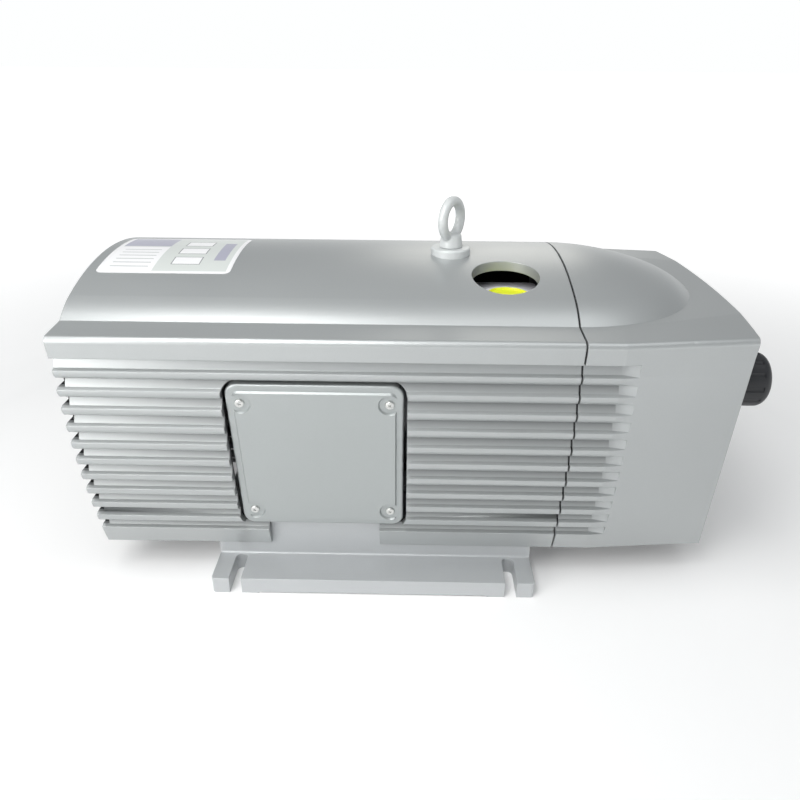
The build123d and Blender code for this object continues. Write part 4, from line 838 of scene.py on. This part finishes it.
def makeRoofSticker():
    values = stickerSettings
    front, back = values["front"], values["back"]
    width = values["right"] - values["left"]
    sticker = added(bpy.ops.mesh.primitive_plane_add, size=1,
                    location=(values["left"] + width / 2, (front + back) / 2, 0))
    sticker.scale = (width, back - front, 1)
    settle(sticker)
    pickFaces(sticker, facesUp)
    bpy.ops.mesh.bevel(offset=values["corner"], segments=values["cornerSegments"], affect="VERTICES")
    for strip in range(1, values["strips"]):
        bpy.ops.mesh.select_all(action="SELECT")
        cut = front + (back - front) * strip / values["strips"]
        bpy.ops.mesh.bisect(plane_co=(0, cut, 0), plane_no=(0, 1, 0))
    leaveEdit()
    radius = values["roofRadius"]
    for point in sticker.data.vertices:
        point.co.z = values["roofTop"] - radius + sqrt(radius ** 2 - point.co.y ** 2) + values["lift"]
    finishWith(sticker, "SOLIDIFY", thickness=values["thickness"], offset=-1)
    smoothByAngle(values["smoothAngle"])
    fit(sticker, "roofSticker", "grey_plastic", "stickerFilm")
    print("sticker:", len(sticker.data.polygons), "faces")


def printedBoxes():  # the boxes from the lowest print to the topmost, each with its tone
    values = printSettings
    left, right, front, back = [stickerSettings[side] for side in ("left", "right", "front", "back")]
    margin = values["margin"]
    columnEnd = left + values["columnEnd"]
    boxes = [
        ("field", (left + margin, right - margin, front + margin, back - margin)),
        ("band", (left + margin, columnEnd, back - values["bandFoot"], back - margin)),
        ("white", (left + margin, columnEnd, front + margin, back - values["listTop"])),
    ]
    for row in range(values["rows"]):
        low = front + values["rowFirst"] + row * values["rowStep"]
        high = low + values["rowHeight"]
        boxes.append(("row", (left + values["rowFrom"], left + values["rowTo"], low, high)))
    start, end, width = left + values["tileFrom"], left + values["tileTo"], values["lineWidth"]
    for tile in range(values["tiles"]):
        low = front + values["tileFirst"] + tile * values["tileStep"]
        high = low + values["tileHeight"]
        boxes.append(("line", (start, end, low, high)))
        boxes.append(("white", (start + width, end - width, low + width, high - width)))
    barEnds = front + values["barInset"], back - values["barInset"]
    boxes.append(("band", (right - values["barFrom"], right - values["barTo"], *barEnds)))
    return boxes


def stickerFilm(name):
    values = filmSettings
    finish = Finish(name, coat=values["coat"], coatRoughness=values["coatRoughness"])
    x, y, _ = finish.axes()
    white = printSettings["white"]
    wear = finish.noise(values["wearScale"], values["wearDetail"])
    colour = finish.blend(wear, shade(white, values["wornTone"]), white)
    for tone, (x0, x1, y0, y1) in printedBoxes():
        colour = finish.blend(x.within(x0, x1) * y.within(y0, y1), colour, printSettings[tone])
    ripple = finish.noise(values["rippleScale"])
    return finish.complete(colour, values["roughness"] + wear.spread(values["spread"]),
                           finish.bump(ripple, values["depth"], values["strength"]))


dressNodes()
stickerFilm("stickerFilm")
makeLiftingEye()
makeLidScrews()
makePortPlug()
makeRoofSticker()


# Camera at the photograph's place and angle
def placeCamera():
    pitch = radians(cameraSettings["pitchDown"])
    yaw = radians(cameraSettings["yaw"])
    roll = radians(cameraSettings["roll"])
    forward = Vector((sin(yaw) * cos(pitch), cos(yaw) * cos(pitch), -sin(pitch)))
    level = Vector((cos(yaw), -sin(yaw), 0.0))
    upright = level.cross(forward)
    right = cos(roll) * level + sin(roll) * upright
    up = cos(roll) * upright - sin(roll) * level
    turned = Matrix((right, up, -forward)).transposed().to_4x4()
    lens = bpy.data.cameras.new("photoCamera")
    lens.lens = cameraSettings["lens"]
    lens.sensor_width = cameraSettings["sensor"]
    camera = bpy.data.objects.new("photoCamera", lens)
    bpy.context.scene.collection.objects.link(camera)
    camera.matrix_world = Matrix.Translation(cameraSettings["place"]) @ turned
    bpy.context.scene.camera = camera
    bpy.context.scene.view_settings.view_transform = "Standard"


def placeLights():
    aim = Vector(lightAim)
    for name, values in lightSettings.items():
        lamp = bpy.data.lights.new(name + "Light", "AREA")
        lamp.shape = "DISK"
        lamp.size = values["size"]
        lamp.energy = values["power"]
        lamp.color = values["colour"]
        holder = bpy.data.objects.new(name + "Light", lamp)
        bpy.context.scene.collection.objects.link(holder)
        holder.location = values["place"]
        holder.rotation_euler = (aim - holder.location).to_track_quat("-Z", "Y").to_euler()


def placeWorld():
    world = bpy.data.worlds.new("paleRoom")
    world.use_nodes = True
    nodes, links = world.node_tree.nodes, world.node_tree.links
    direction = nodes.new("ShaderNodeTexCoord")
    height = nodes.new("ShaderNodeSeparateXYZ")
    ramp = nodes.new("ShaderNodeValToRGB")
    low, high = ramp.color_ramp.elements
    low.position = worldSettings["whiteUpTo"]
    low.color = (*worldSettings["level"], 1.0)
    high.position = worldSettings["darkFrom"]
    high.color = (*worldSettings["overhead"], 1.0)
    links.new(direction.outputs["Generated"], height.inputs[0])
    links.new(height.outputs["Z"], ramp.inputs[0])
    links.new(ramp.outputs[0], nodes["Background"].inputs[0])
    bpy.context.scene.world = world


def placeFloor():
    values = floorSettings
    floor = added(bpy.ops.mesh.primitive_plane_add, size=values["size"],
                  location=(0, 0, cadBounds[0].z - values["sink"]))
    floor.name = "studioFloor"
    finish = Finish("floorPaint", roughness=values["roughness"], specular=values["specular"],
                    glowStrength=1.0)
    x, y, _ = finish.axes()
    away = (x * x + y * y).root()
    glow = finish.fade(away, values["near"], values["far"], values["nearGlow"], values["farGlow"])
    finish.set("glow", glow)
    cloud = finish.noise(values["cloudScale"])
    finish.set("colour", finish.blend(cloud, shade(values["colour"], values["darkTone"]), values["colour"]))
    floor.data.materials.append(finish.material)


smoothNodes()
placeCamera()
placeLights()
placeWorld()
placeFloor()
print("stage: camera, lights and floor placed")
